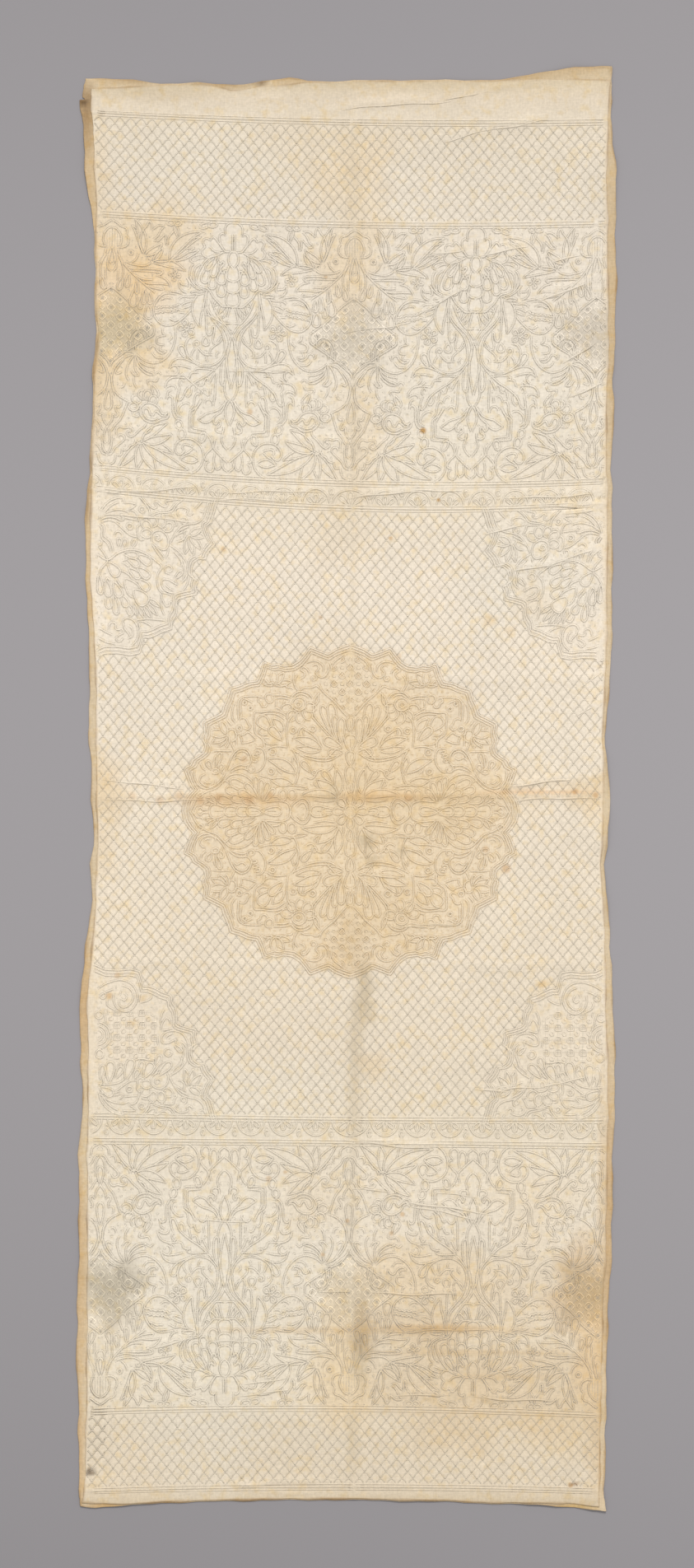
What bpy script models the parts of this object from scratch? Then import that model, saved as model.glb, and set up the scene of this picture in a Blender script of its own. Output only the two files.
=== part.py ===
"""A corded and quilted bedcover panel, lying flat on its back.

A fine face cloth, worked all over, lies on a coarser backing cloth whose edges show
past it. Each cloth is one sheet with its own cut outline, and both share the low folds
and lifted edges of a panel that was stored folded. Cord channels ruled across the panel
part its end fields, bands, guard borders and centre field.
Units are metres and +Z is up. +Y runs to the head end, and the sheet tables are in
millimetres.
"""

import math
from typing import NamedTuple

import bmesh
import bpy

MM = 0.001

CLOTH_THICKNESS = 1.0 * MM
CLOTH_GAP = 0.35 * MM
CORD_LIFT = 0.8 * MM
CORD_HALF_WIDTH = 4.0
FOLD_TAPER = 60.0
ROW_SPACING_LEAST = 9.0

# The cloth lifts between these two lines, counted in from each edge of the panel.
LEFT_FLAT, LEFT_LIFTED = -335.0, -372.0
RIGHT_FLAT, RIGHT_LIFTED = 343.0, 380.0
HEAD_FLAT, HEAD_LIFTED = 1037.0, 1066.0
FOOT_FLAT, FOOT_LIFTED = -1052.0, -1086.0


class Section(NamedTuple):
    """Where the two cloths' side edges lie at one place along the panel."""

    y: float
    back_left: float
    face_left: float
    face_right: float
    back_right: float


SECTIONS = (
    Section(1103, -404, -395, 406, 408),
    Section(1052, -411, -394, 405, 409),
    Section(1001, -406, -391, 403, 409),
    Section(951, -404, -389, 401, 417),
    Section(900, -399, -386, 402, 415),
    Section(849, -389, -387, 403, 414),
    Section(798, -388, -386, 403, 417),
    Section(747, -389, -387, 404, 415),
    Section(684, -386, -383, 404, 414),
    Section(639, -391, -389, 403, 410),
    Section(595, -391, -389, 401, 413),
    Section(493, -395, -393, 401, 408),
    Section(392, -403, -395, 403, 410),
    Section(341, -403, -396, 402, 410),
    Section(239, -399, -391, 401, 409),
    Section(189, -396, -387, 400, 408),
    Section(87, -398, -386, 395, 399),
    Section(36, -394, -386, 396, 401),
    Section(-15, -394, -386, 396, 408),
    Section(-65, -389, -384, 395, 403),
    Section(-116, -395, -385, 392, 398),
    Section(-167, -392, -387, 395, 401),
    Section(-218, -399, -390, 398, 406),
    Section(-319, -411, -400, 400, 410),
    Section(-370, -411, -399, 401, 413),
    Section(-421, -411, -399, 403, 414),
    Section(-472, -406, -399, 403, 414),
    Section(-573, -414, -400, 402, 410),
    Section(-624, -413, -400, 401, 410),
    Section(-726, -413, -400, 399, 408),
    Section(-777, -415, -400, 396, 404),
    Section(-878, -417, -401, 394, 401),
    Section(-929, -414, -401, 392, 400),
    Section(-1031, -413, -403, 391, 399),
    Section(-1081, -413, -405, 390, 396),
    Section(-1102, -410, -408, 390, 401),
)


class EndSection(NamedTuple):
    """Where the two cloths' end edges lie at one place across the panel."""

    x: float
    back_head: float
    face_head: float
    face_foot: float
    back_foot: float


END_SECTIONS = (
    EndSection(-408, 1097, 1081, -1099, -1105),
    EndSection(-387, 1097, 1081, -1100, -1107),
    EndSection(-335, 1094, 1083, -1102, -1104),
    EndSection(-286, 1088, 1085, -1098, -1100),
    EndSection(-235, 1090, 1087, -1097, -1099),
    EndSection(-133, 1093, 1087, -1094, -1096),
    EndSection(-83, 1097, 1094, -1094, -1096),
    EndSection(-30, 1092, 1090, -1093, -1095),
    EndSection(95, 1094, 1092, -1095, -1097),
    EndSection(171, 1093, 1091, -1097, -1099),
    EndSection(248, 1095, 1093, -1100, -1102),
    EndSection(298, 1105, 1094, -1100, -1103),
    EndSection(343, 1113, 1095, -1100, -1106),
    EndSection(387, 1114, 1094, -1106, -1112),
    EndSection(397, 1114, 1093, -1108, -1114),
)


# Where the ruled cord channels cross the panel's middle line.
RULES = (1029, 871, 472, 434, -509, -545, -954, -1075)


class Sag(NamedTuple):
    """How far the weave rises towards the panel's left and right sides at one row."""

    y: float
    left: float
    right: float


SAG_SPAN = 336.0
SAGS = (
    Sag(1066, 2, -1),
    Sag(1029, 12, -1),
    Sag(871, 14, 0),
    Sag(472, 20, 1),
    Sag(434, 25, 3),
    Sag(170, 6, 1),
    Sag(-10, 0, 0),
    Sag(-509, 5, -1),
    Sag(-545, 3, -4),
    Sag(-954, -3, -8),
    Sag(-1075, -5, -5),
    Sag(-1086, -3, -4),
)


class Fold(NamedTuple):
    """A soft ridge left by an old fold, across the panel or along it."""

    name: str
    across: bool
    place: float
    start: float
    end: float
    half_width: float
    height: float


FOLDS = (
    Fold("band_fold", True, 534, -293, 50, 14, 1.6),
    Fold("head_quarter_fold", True, 404, -372, -154, 13, 1.2),
    Fold("head_third_fold", True, 170, -372, 380, 14, 1.0),
    Fold("centre_fold", True, -10, -372, 380, 12, 1.8),
    Fold("foot_third_fold", True, -269, -372, 380, 14, 1.1),
    Fold("long_fold", False, 9, -1086, 1066, 12, 1.5),
)


class Ripple(NamedTuple):
    """A stretch of edge that stands a little off the surface."""

    side: str
    place: float
    half_length: float
    height: float


RIPPLES = (
    Ripple("left", 951, 90, 2.2),
    Ripple("left", 595, 80, 1.4),
    Ripple("left", 189, 90, 1.0),
    Ripple("left", -319, 70, 1.5),
    Ripple("left", -726, 95, 1.2),
    Ripple("right", 951, 80, 2.4),
    Ripple("right", 639, 75, 1.5),
    Ripple("right", 36, 62, 2.4),
    Ripple("right", -65, 60, 3.2),
    Ripple("right", -167, 65, 2.2),
    Ripple("right", -624, 90, 1.2),
    Ripple("right", -929, 85, 1.6),
    Ripple("head", -235, 80, 1.4),
    Ripple("head", 171, 80, 1.6),
    Ripple("head", 343, 62, 2.6),
    Ripple("foot", -335, 70, 1.5),
    Ripple("foot", 95, 90, 1.0),
    Ripple("foot", 298, 60, 1.8),
    Ripple("foot", 408, 62, 3.6),
)

COLUMNS = (
    *(-372, -335, -286, -235, -184, -133, -83, -40, -3, 9, 21, 58, 95, 133, 171),
    *(210, 248, 298, 343, 380),
)


class Cloth(NamedTuple):
    """One cut cloth: which columns of the section tables it follows, and its finish."""

    name: str
    left: str
    right: str
    head: str
    foot: str
    base: float
    cord_lift: float
    color: tuple
    roughness: float


CLOTHS = (
    Cloth(
        "backing_cloth",
        "back_left",
        "back_right",
        "back_head",
        "back_foot",
        0.0,
        0.0,
        (0.62, 0.50, 0.35, 1.0),
        0.92,
    ),
    Cloth(
        "face_cloth",
        "face_left",
        "face_right",
        "face_head",
        "face_foot",
        CLOTH_THICKNESS + CLOTH_GAP,
        CORD_LIFT,
        (0.80, 0.71, 0.55, 1.0),
        0.85,
    ),
)


def read_between(rows, key, value, place):
    """Reads one column of a table between its rows, which run up or down in key."""
    rows = sorted(rows, key=lambda row: getattr(row, key))
    if place <= getattr(rows[0], key):
        return getattr(rows[0], value)
    for low, high in zip(rows, rows[1:]):
        start, end = getattr(low, key), getattr(high, key)
        if place <= end:
            share = (place - start) / (end - start)
            return getattr(low, value) * (1 - share) + getattr(high, value) * share
    return getattr(rows[-1], value)


def bump(distance, half_width):
    """A soft hump of height one that dies out at half_width."""
    if abs(distance) >= half_width:
        return 0.0
    return 0.5 * (1 + math.cos(math.pi * distance / half_width))


def ramp(value, start, end):
    """Zero before start and one past end, straight between them."""
    return min(1.0, max(0.0, (value - start) / (end - start)))


def fold_height(x, y):
    """The height of the old folds at a place on the cloth."""
    height = 0.0
    for fold in FOLDS:
        away, along = (y, x) if fold.across else (x, y)
        into = ramp(along, fold.start - FOLD_TAPER, fold.start)
        out_of = 1 - ramp(along, fold.end, fold.end + FOLD_TAPER)
        height = max(height, fold.height * bump(away - fold.place, fold.half_width) * into * out_of)
    return height


def edge_height(x, y):
    """The height of the lifted edges at a place on the cloth."""
    rise = {
        "left": (ramp(x, LEFT_FLAT, LEFT_LIFTED), y),
        "right": (ramp(x, RIGHT_FLAT, RIGHT_LIFTED), y),
        "head": (ramp(y, HEAD_FLAT, HEAD_LIFTED), x),
        "foot": (ramp(y, FOOT_FLAT, FOOT_LIFTED), x),
    }
    height = 0.0
    for ripple in RIPPLES:
        share, along = rise[ripple.side]
        height = max(height, ripple.height * bump(along - ripple.place, ripple.half_length) * share)
    return height


def cord_height(y, lift):
    """The height of the cords that fill the ruled channels of the face cloth."""
    return max(lift * bump(y - rule, CORD_HALF_WIDTH) for rule in RULES)


def weave_rise(x, y):
    """How far the row that crosses the middle line at y has risen at x."""
    left = read_between(SAGS, "y", "left", y)
    right = read_between(SAGS, "y", "right", y)
    share = x / SAG_SPAN
    return (right - left) / 2 * share + (right + left) / 2 * share * share


def cloth_rows():
    """The places along the panel where both sheets have a row of points, head end first."""
    needed = [HEAD_FLAT, HEAD_LIFTED, FOOT_FLAT, FOOT_LIFTED]
    for rule in RULES:
        needed += [rule - CORD_HALF_WIDTH, rule, rule + CORD_HALF_WIDTH]
    for fold in FOLDS:
        if fold.across:
            needed += [fold.place - fold.half_width, fold.place, fold.place + fold.half_width]
    inside = [s.y for s in SECTIONS if FOOT_LIFTED < s.y < HEAD_LIFTED]
    spare = [y for y in inside if min(abs(y - n) for n in needed) >= ROW_SPACING_LEAST]
    return sorted({*needed, *spare})


def place_point(cloth, column, row, columns, rows):
    """Where one point of a cloth's grid lies, in metres.

    The outermost points lie on the cloth's own cut edge, at the height of the point
    beside them, so both cloths keep one surface right to their edges.
    """
    inner_x = columns[min(max(column - 1, 0), len(columns) - 1)]
    inner_y = rows[min(max(row - 1, 0), len(rows) - 1)]
    height = max(fold_height(inner_x, inner_y), edge_height(inner_x, inner_y))
    height += cord_height(inner_y, cloth.cord_lift / MM)
    side_y = {0: SECTIONS[-1].y, len(rows) + 1: SECTIONS[0].y}.get(row, inner_y)
    x = inner_x
    if column == 0:
        x = read_between(SECTIONS, "y", cloth.left, side_y)
    elif column == len(columns) + 1:
        x = read_between(SECTIONS, "y", cloth.right, side_y)
    if row == 0:
        y = read_between(END_SECTIONS, "x", cloth.foot, x)
    elif row == len(rows) + 1:
        y = read_between(END_SECTIONS, "x", cloth.head, x)
    else:
        y = inner_y + weave_rise(x, inner_y)
    return x * MM, y * MM, height * MM


def make_material(name, color, roughness):
    """A plain cloth finish."""
    material = bpy.data.materials.new(name)
    material.use_nodes = True
    shader = material.node_tree.nodes["Principled BSDF"]
    shader.inputs["Base Color"].default_value = color
    shader.inputs["Roughness"].default_value = roughness
    shader.inputs["Metallic"].default_value = 0.0
    material.diffuse_color = color
    return material


def make_cloth(cloth, collection):
    """One sheet: a grid laid on the table places, then given its thickness upwards."""
    rows = cloth_rows()
    steps_x, steps_y = len(COLUMNS) + 1, len(rows) + 1
    mesh = bpy.data.meshes.new(cloth.name)
    grid = bmesh.new()
    bmesh.ops.create_grid(grid, x_segments=steps_x, y_segments=steps_y, size=1.0)
    for point in grid.verts:
        column = round((point.co.x + 1) / 2 * steps_x)
        row = round((point.co.y + 1) / 2 * steps_y)
        point.co = place_point(cloth, column, row, COLUMNS, rows)
    bmesh.ops.triangulate(grid, faces=grid.faces[:], quad_method="FIXED")
    grid.to_mesh(mesh)
    grid.free()
    sheet = bpy.data.objects.new(cloth.name, mesh)
    sheet.location.z = cloth.base
    sheet.data.materials.append(make_material(cloth.name, cloth.color, cloth.roughness))
    collection.objects.link(sheet)
    shell = sheet.modifiers.new("thickness", "SOLIDIFY")
    shell.thickness = CLOTH_THICKNESS
    shell.offset = 1.0
    return sheet


def main():
    """Clears the scene and lays the two cloths in their collection."""
    for old in list(bpy.data.objects):
        bpy.data.objects.remove(old, do_unlink=True)
    collection = bpy.data.collections.new("bedcover")
    bpy.context.scene.collection.children.link(collection)
    for cloth in CLOTHS:
        make_cloth(cloth, collection)


main()
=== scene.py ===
"""A corded and quilted bedcover panel, laid flat and seen from straight above."""
import cmath
import logging
import math
from collections.abc import Callable
from dataclasses import dataclass, field
from enum import Enum

import bpy
import numpy as np
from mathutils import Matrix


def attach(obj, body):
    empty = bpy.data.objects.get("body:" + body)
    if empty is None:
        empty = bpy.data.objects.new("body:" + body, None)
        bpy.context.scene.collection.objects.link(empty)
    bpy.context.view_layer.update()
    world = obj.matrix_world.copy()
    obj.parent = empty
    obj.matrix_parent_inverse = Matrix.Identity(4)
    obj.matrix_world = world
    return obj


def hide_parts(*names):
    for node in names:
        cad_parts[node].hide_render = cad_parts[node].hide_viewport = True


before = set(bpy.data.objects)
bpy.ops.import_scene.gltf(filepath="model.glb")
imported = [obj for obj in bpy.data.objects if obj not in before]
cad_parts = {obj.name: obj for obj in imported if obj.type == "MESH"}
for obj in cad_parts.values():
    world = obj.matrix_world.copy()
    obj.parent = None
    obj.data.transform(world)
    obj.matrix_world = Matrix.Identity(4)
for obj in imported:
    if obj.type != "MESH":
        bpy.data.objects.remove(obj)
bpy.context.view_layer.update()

log = logging.getLogger("bedcover")

MM = 0.001
CLOTH_THICKNESS = 1.0
CLOTH_GAP = 0.35
SEED = 7

# The cloth lifts between these two lines, counted in from each edge, in millimetres.
LEFT_FLAT, LEFT_LIFTED = -335.0, -372.0
RIGHT_FLAT, RIGHT_LIFTED = 343.0, 380.0
HEAD_FLAT, HEAD_LIFTED = 1037.0, 1066.0
FOOT_FLAT, FOOT_LIFTED = -1052.0, -1086.0

# The side edges: place along the panel, backing left, face left, face right, backing right.
SIDES = np.array((
    (1103, -404, -395, 406, 408), (1063, -408, -394, 405, 409), (1060.5, -402, -394, 405, 409),
    (1058, -412, -394, 405, 409), (1052, -411, -394, 405, 409), (1001, -406, -391, 403, 409),
    (951, -404, -389, 401, 417), (900, -399, -386, 402, 415), (849, -389, -387, 403, 414),
    (798, -388, -386, 403, 417), (747, -389, -387, 404, 415), (684, -386, -383, 404, 414),
    (639, -391, -389, 403, 410), (595, -391, -389, 401, 413), (493, -395, -393, 401, 408),
    (392, -403, -395, 403, 410), (341, -403, -396, 402, 410), (239, -399, -391, 401, 409),
    (189, -396, -387, 400, 408), (87, -398, -386, 395, 399), (36, -394, -386, 396, 401),
    (-15, -394, -386, 396, 408), (-65, -389, -384, 395, 403), (-116, -395, -385, 392, 398),
    (-167, -392, -387, 395, 401), (-218, -399, -390, 398, 406), (-319, -411, -400, 400, 410),
    (-370, -411, -399, 401, 413), (-421, -411, -399, 403, 414), (-472, -406, -399, 403, 414),
    (-573, -414, -400, 402, 410), (-624, -413, -400, 401, 410), (-726, -413, -400, 399, 408),
    (-777, -415, -400, 396, 404), (-878, -417, -401, 394, 401), (-929, -414, -401, 392, 400),
    (-1031, -413, -403, 391, 399), (-1081, -413, -405, 390, 396), (-1102, -410, -408, 390, 401),
), float)[::-1]

# The end edges: place across the panel, backing head, face head, face foot, backing foot.
ENDS = np.array((
    (-408, 1097, 1081, -1099, -1105), (-387, 1097, 1081, -1100, -1107),
    (-335, 1094, 1083, -1102, -1104), (-286, 1088, 1085, -1098, -1100),
    (-235, 1090, 1087, -1097, -1099), (-203, 1087, 1085, -1096, -1098),
    (-177, 1086, 1077, -1095, -1097), (-150, 1089, 1081, -1095, -1097),
    (-133, 1092, 1083, -1094, -1096), (-83, 1097, 1087, -1094, -1096),
    (-62, 1093, 1091, -1094, -1096), (-30, 1092, 1090, -1093, -1095),
    (95, 1094, 1092, -1095, -1097), (171, 1093, 1091, -1097, -1099),
    (248, 1095, 1093, -1100, -1102), (298, 1105, 1094, -1100, -1103),
    (343, 1113, 1095, -1100, -1106), (387, 1114, 1094, -1106, -1112),
    (397, 1114, 1093, -1108, -1114),
), float)

# Where the ruled channels cross the middle line, from the head.
RULES = (1029.0, 871.0, 472.0, 434.0, -509.0, -545.0, -954.0, -1075.0)

# How far the weave rises at the left and right of the panel, by place along it.
SAG_SPAN = 336.0
SAGS = np.array((
    (1066, 2, -1), (1029, 12, -1), (871, 14, 0), (472, 20, 1), (434, 25, 3), (170, 6, 1),
    (-10, 0, 0), (-509, 5, -1), (-545, 3, -4), (-954, -3, -8), (-1075, -5, -5), (-1086, -3, -4),
), float)[::-1]

# How far the design's middle line lies to the right, by place along the panel.
DRIFTS = np.array((
    (-1100, 3), (-750, 4), (-500, 3), (-34, 3.8), (434, 3.5), (525, 4.3), (633, 9.4), (850, 13),
    (1100, 14),
), float)


@dataclass(frozen=True)
class Fold:
    """A soft ridge or trough in the cloth, straight from one place to another."""

    start: complex
    end: complex
    half_width: float
    height: float


FOLDS = (
    Fold(-293 + 534j, 50 + 534j, 14, 1.6),
    Fold(-380 + 404j, -154 + 404j, 13, 1.2),
    Fold(-380 + 170j, 390 + 170j, 14, 1.0),
    Fold(-380 - 10j, 390 - 10j, 12, 1.8),
    Fold(-380 - 269j, 390 - 269j, 14, 1.1),
    Fold(9 - 1090j, 9 + 1080j, 12, 1.5),
)

# Finer creases of the face alone, each given by the dark line at the foot of its ridge:
# its two ends, how far the ridge spreads to either side, and its height.
CREASES = (
    (-3, 1047, 156, 1061, 10, 1.8), (156, 1061, 261, 1084, 9, 2.2), (156, 997, 202, 1013, 9, 1.8),
    (202, 1013, 301, 1031, 10, 1.8), (134, 825, 175, 831, 8, 1.6), (206, 824, 274, 834, 9, 1.8),
    (320, 814, 356, 820, 9, 1.8), (302, 752, 365, 777, 11, 2.3), (118, 734, 175, 768, 10, 2.0),
    (2, 704, 100, 720, 10, 1.6), (338, 659, 383, 689, 11, 2.3), (347, 607, 397, 627, 11, 2.2),
    (-216, 734, -180, 707, 9, 1.6), (-280, 636, -252, 636, 8, 1.4), (-252, 636, -216, 607, 9, 1.6),
    (-180, 644, -103, 644, 9, 1.6), (-352, 459, -239, 464, 9, 2.0), (-198, 459, -39, 457, 8, 1.8),
    (-202, 448, -89, 443, 8, 1.6), (9, 448, 111, 459, 9, 2.2), (111, 459, 174, 459, 9, 2.2),
    (247, 448, 383, 455, 9, 2.2), (293, 437, 400, 437, 8, 1.8), (338, 425, 397, 434, 8, 1.6),
    (215, 396, 274, 405, 10, 1.8), (-385, 423, -234, 413, 10, 1.8), (261, 335, 311, 344, 8, 2.6),
    (311, 344, 397, 376, 9, 1.4), (358, 115, 401, 138, 9, 1.6), (365, 160, 402, 190, 9, 1.4),
    (254, 6, 342, 13, 8, 2.4), (261, -17, 401, -14, 8, 2.2), (-387, 13, -254, 3, 8, 1.8),
    (-392, -17, -211, -17, 8, 1.8), (66, -74, 98, -74, 7, 1.4), (20, -131, 84, -135, 8, 1.8),
    (66, -210, 170, -210, 8, 1.4), (201, -461, 242, -468, 9, 1.6), (247, -463, 301, -461, 9, 1.8),
    (301, -461, 365, -445, 9, 1.8), (2, -542, 129, -554, 9, 2.2), (11, -616, 61, -618, 8, 1.6),
    (88, -634, 220, -657, 9, 2.4), (97, -641, 202, -666, 8, 1.8), (143, -623, 197, -630, 8, 1.6),
    (-221, -666, -162, -668, 9, 1.6), (-39, -776, 2, -775, 8, 1.8), (38, -776, 161, -779, 8, 2.4),
    (52, -835, 279, -835, 8, 1.4), (-298, -860, -235, -847, 9, 1.8), (-207, -851, -143, -854, 9, 1.6),
    (-153, -919, -98, -910, 9, 1.8), (-162, -937, -94, -926, 9, 1.8), (79, -935, 152, -932, 9, 1.8),
    (202, -937, 311, -944, 9, 2.6),
)

# Creases that run out over the cloths' borders, in the sizes of the table.
BORDER_FOLDS = (
    Fold(47 + 1048j, 180 + 1061j, 4.5, 1.0), Fold(175 + 1060j, 272 + 1090j, 5, 1.8),
    Fold(80 + 1046j, 170 + 1053j, 4, 0.6), Fold(-150 + 1062j, -105 + 1068j, 4, 0.9),
    Fold(-188 - 1070j, -10 - 1068j, 5, 2.2), Fold(-260 - 1081j, -60 - 1083j, 5, 1.0),
    Fold(-270 - 1076j, -170 - 1079j, 4, 0.7), Fold(60 - 1077j, 260 - 1082j, 5, 0.8),
    Fold(340 - 1040j, 388 - 1090j, 6, 1.0), Fold(362 - 1085j, 384 - 1105j, 4, 1.2),
    Fold(-396 + 1090j, -386 + 960j, 5, 1.0), Fold(398 + 1010j, 384 + 880j, 5, 1.0),
    Fold(-405 - 1020j, -396 - 900j, 5, 0.8), Fold(396 + 300j, 388 + 180j, 5, 0.8),
)

# A stretch of edge that stands off the surface: side, place, half length, height.
RIPPLES = (
    ("left", 951, 90, 2.2), ("left", 595, 80, 1.4), ("left", 189, 90, 1.0),
    ("left", -319, 70, 1.5), ("left", -726, 95, 1.2), ("right", 951, 80, 2.4),
    ("right", 639, 75, 1.5), ("right", 36, 62, 2.4), ("right", -65, 60, 3.2),
    ("right", -167, 65, 2.2), ("right", -624, 90, 1.2), ("right", -929, 85, 1.6),
    ("head", -235, 80, 1.4), ("head", 171, 80, 1.6), ("head", 343, 62, 2.6),
    ("foot", -335, 70, 1.5), ("foot", 95, 90, 1.0), ("foot", 298, 60, 1.8),
    ("foot", 408, 62, 3.6),
)


def turned(degrees: float) -> complex:
    """The unit vector at an angle counted up from the right."""
    return cmath.exp(1j * math.radians(degrees))


def resampled(path: np.ndarray, step: float) -> np.ndarray:
    """Spreads points evenly along a path.

    Args:
        path: the points of the path.
        step: about how far apart the new points lie.

    Returns:
        The new points, with both ends kept.
    """
    lengths = np.concatenate(([0.0], np.cumsum(np.abs(np.diff(path)))))
    count = max(2, int(round(lengths[-1] / step)) + 1)
    places = np.linspace(0, lengths[-1], count)
    return np.interp(places, lengths, path.real) + 1j * np.interp(places, lengths, path.imag)


def along(*points: complex) -> np.ndarray:
    """A smooth line through a few places."""
    line = np.array(points, complex)
    padded = np.concatenate(([2 * line[0] - line[1]], line, [2 * line[-1] - line[-2]]))
    pieces = []
    share = np.linspace(0, 1, 7)[:-1]
    for a, b, c, d in zip(padded, padded[1:], padded[2:], padded[3:]):
        bend = (2 * a - 5 * b + 4 * c - d) * share**2 + (3 * b - a - 3 * c + d) * share**3
        pieces.append((2 * b + (c - a) * share + bend) / 2)
    return np.concatenate((*pieces, line[-1:]))


# How many points the middle line of a leaf has.
LEAF_POINTS = 18


class Tip(Enum):
    """How a leaf ends."""

    POINT = "point"
    ROUND = "round"


class Line(Enum):
    """How a line of the design is worked."""

    CORD = "cord"
    SEAM = "seam"
    BARE = "bare"
    PALE = "pale"


@dataclass(frozen=True)
class Stroke:
    """One worked line: its points as complex millimetres, and how it is worked."""

    path: np.ndarray
    line: Line = Line.CORD


def leaf(
    base: complex,
    angle: float,
    length: float,
    width: float,
    bend: float = 0.0,
    tip: Tip = Tip.POINT,
) -> np.ndarray:
    """The closed outline of a leaf, petal or drop.

    Args:
        base: where the leaf grows from.
        angle: the direction it sets out in, in degrees.
        length: its length along its own curve.
        width: its width at the widest.
        bend: how far its curve turns over its length, in degrees.
        tip: how it ends.

    Returns:
        The points of the outline, the first one repeated at the end.
    """
    share = np.linspace(0, 1, LEAF_POINTS)
    steps = np.exp(1j * np.radians(angle + bend * share))
    middle = (steps[1:] + steps[:-1]) / 2 * length / (LEAF_POINTS - 1)
    spine = base + np.concatenate(([0], np.cumsum(middle)))
    if tip is Tip.POINT:
        half = np.sin(np.pi * share**0.85)
    else:
        half = share**0.62 * np.sqrt(np.clip(1 - share**4.5, 0, None)) / 0.80
    side = 1j * steps * half * width / 2
    return np.concatenate((spine + side, (spine - side)[::-1], [spine[0] + side[0]]))


def oval(center: complex, width: float, height: float, angle: float = 0.0) -> np.ndarray:
    """A closed oval."""
    around = np.linspace(0, 2 * np.pi, max(14, int((width + height) * 0.9)) + 1)
    return center + (np.cos(around) * width + 1j * np.sin(around) * height) / 2 * turned(angle)


def arc(center: complex, radius: float, start: float, end: float) -> np.ndarray:
    """An open arc, from one angle to another in degrees."""
    around = np.linspace(start, end, max(4, int(abs(end - start) / 12)) + 1)
    return center + radius * np.exp(1j * np.radians(around))


def scroll(center: complex, radius: float, start: float, sweep: float, left: float = 0.25) -> np.ndarray:
    """A line that winds in about a centre.

    Args:
        center: the middle of the winding.
        radius: how far out it starts.
        start: the angle it starts at, in degrees.
        sweep: how far round it winds, in degrees.
        left: the share of the radius left at its inner end.

    Returns:
        The points of the line.
    """
    share = np.linspace(0, 1, max(6, int(abs(sweep) / 14)))
    return center + radius * (1 - (1 - left) * share) * np.exp(1j * np.radians(start + sweep * share))


def scallops(path: np.ndarray, count: int, rise: float) -> np.ndarray:
    """Swells a line out to its left in a row of even lobes.

    Args:
        path: the line that the lobes stand on.
        count: how many lobes there are.
        rise: how far each one stands out.

    Returns:
        The points of the lobed line.
    """
    fine = resampled(path, max(0.6, np.abs(np.diff(path)).sum() / (count * 9)))
    share = np.linspace(0, 1, len(fine))
    normal = 1j * np.gradient(fine)
    normal /= np.abs(normal) + 1e-9
    return fine + normal * rise * np.abs(np.sin(np.pi * count * share)) ** 0.6


def paired(path: np.ndarray) -> np.ndarray:
    """Closes a right-hand line with its mirror image on the other side of the axis at nought."""
    return np.concatenate((path, -np.conj(path)[::-1]))


def inside(points: np.ndarray, outline: np.ndarray) -> np.ndarray:
    """Which points lie inside a closed outline.

    Args:
        points: the points to test.
        outline: the points of the outline, the first one repeated at the end.

    Returns:
        True for each point inside.
    """
    low, high = outline[:-1], outline[1:]
    rises = (low.imag[None] > points.imag[:, None]) != (high.imag[None] > points.imag[:, None])
    drop = np.where(high.imag == low.imag, 1e-9, high.imag - low.imag)
    slope = (high.real - low.real) / drop
    crossing = low.real[None] + (points.imag[:, None] - low.imag[None]) * slope[None]
    return (rises & (points.real[:, None] < crossing)).sum(1) % 2 == 1


def runs(path: np.ndarray, keep: np.ndarray) -> list[np.ndarray]:
    """The stretches of a path where keep holds, in order, of two points or more."""
    edges = np.flatnonzero(np.diff(np.concatenate(([False], keep, [False])).astype(int)))
    return [path[a:b] for a, b in zip(edges[::2], edges[1::2]) if b - a >= 2]


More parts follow.
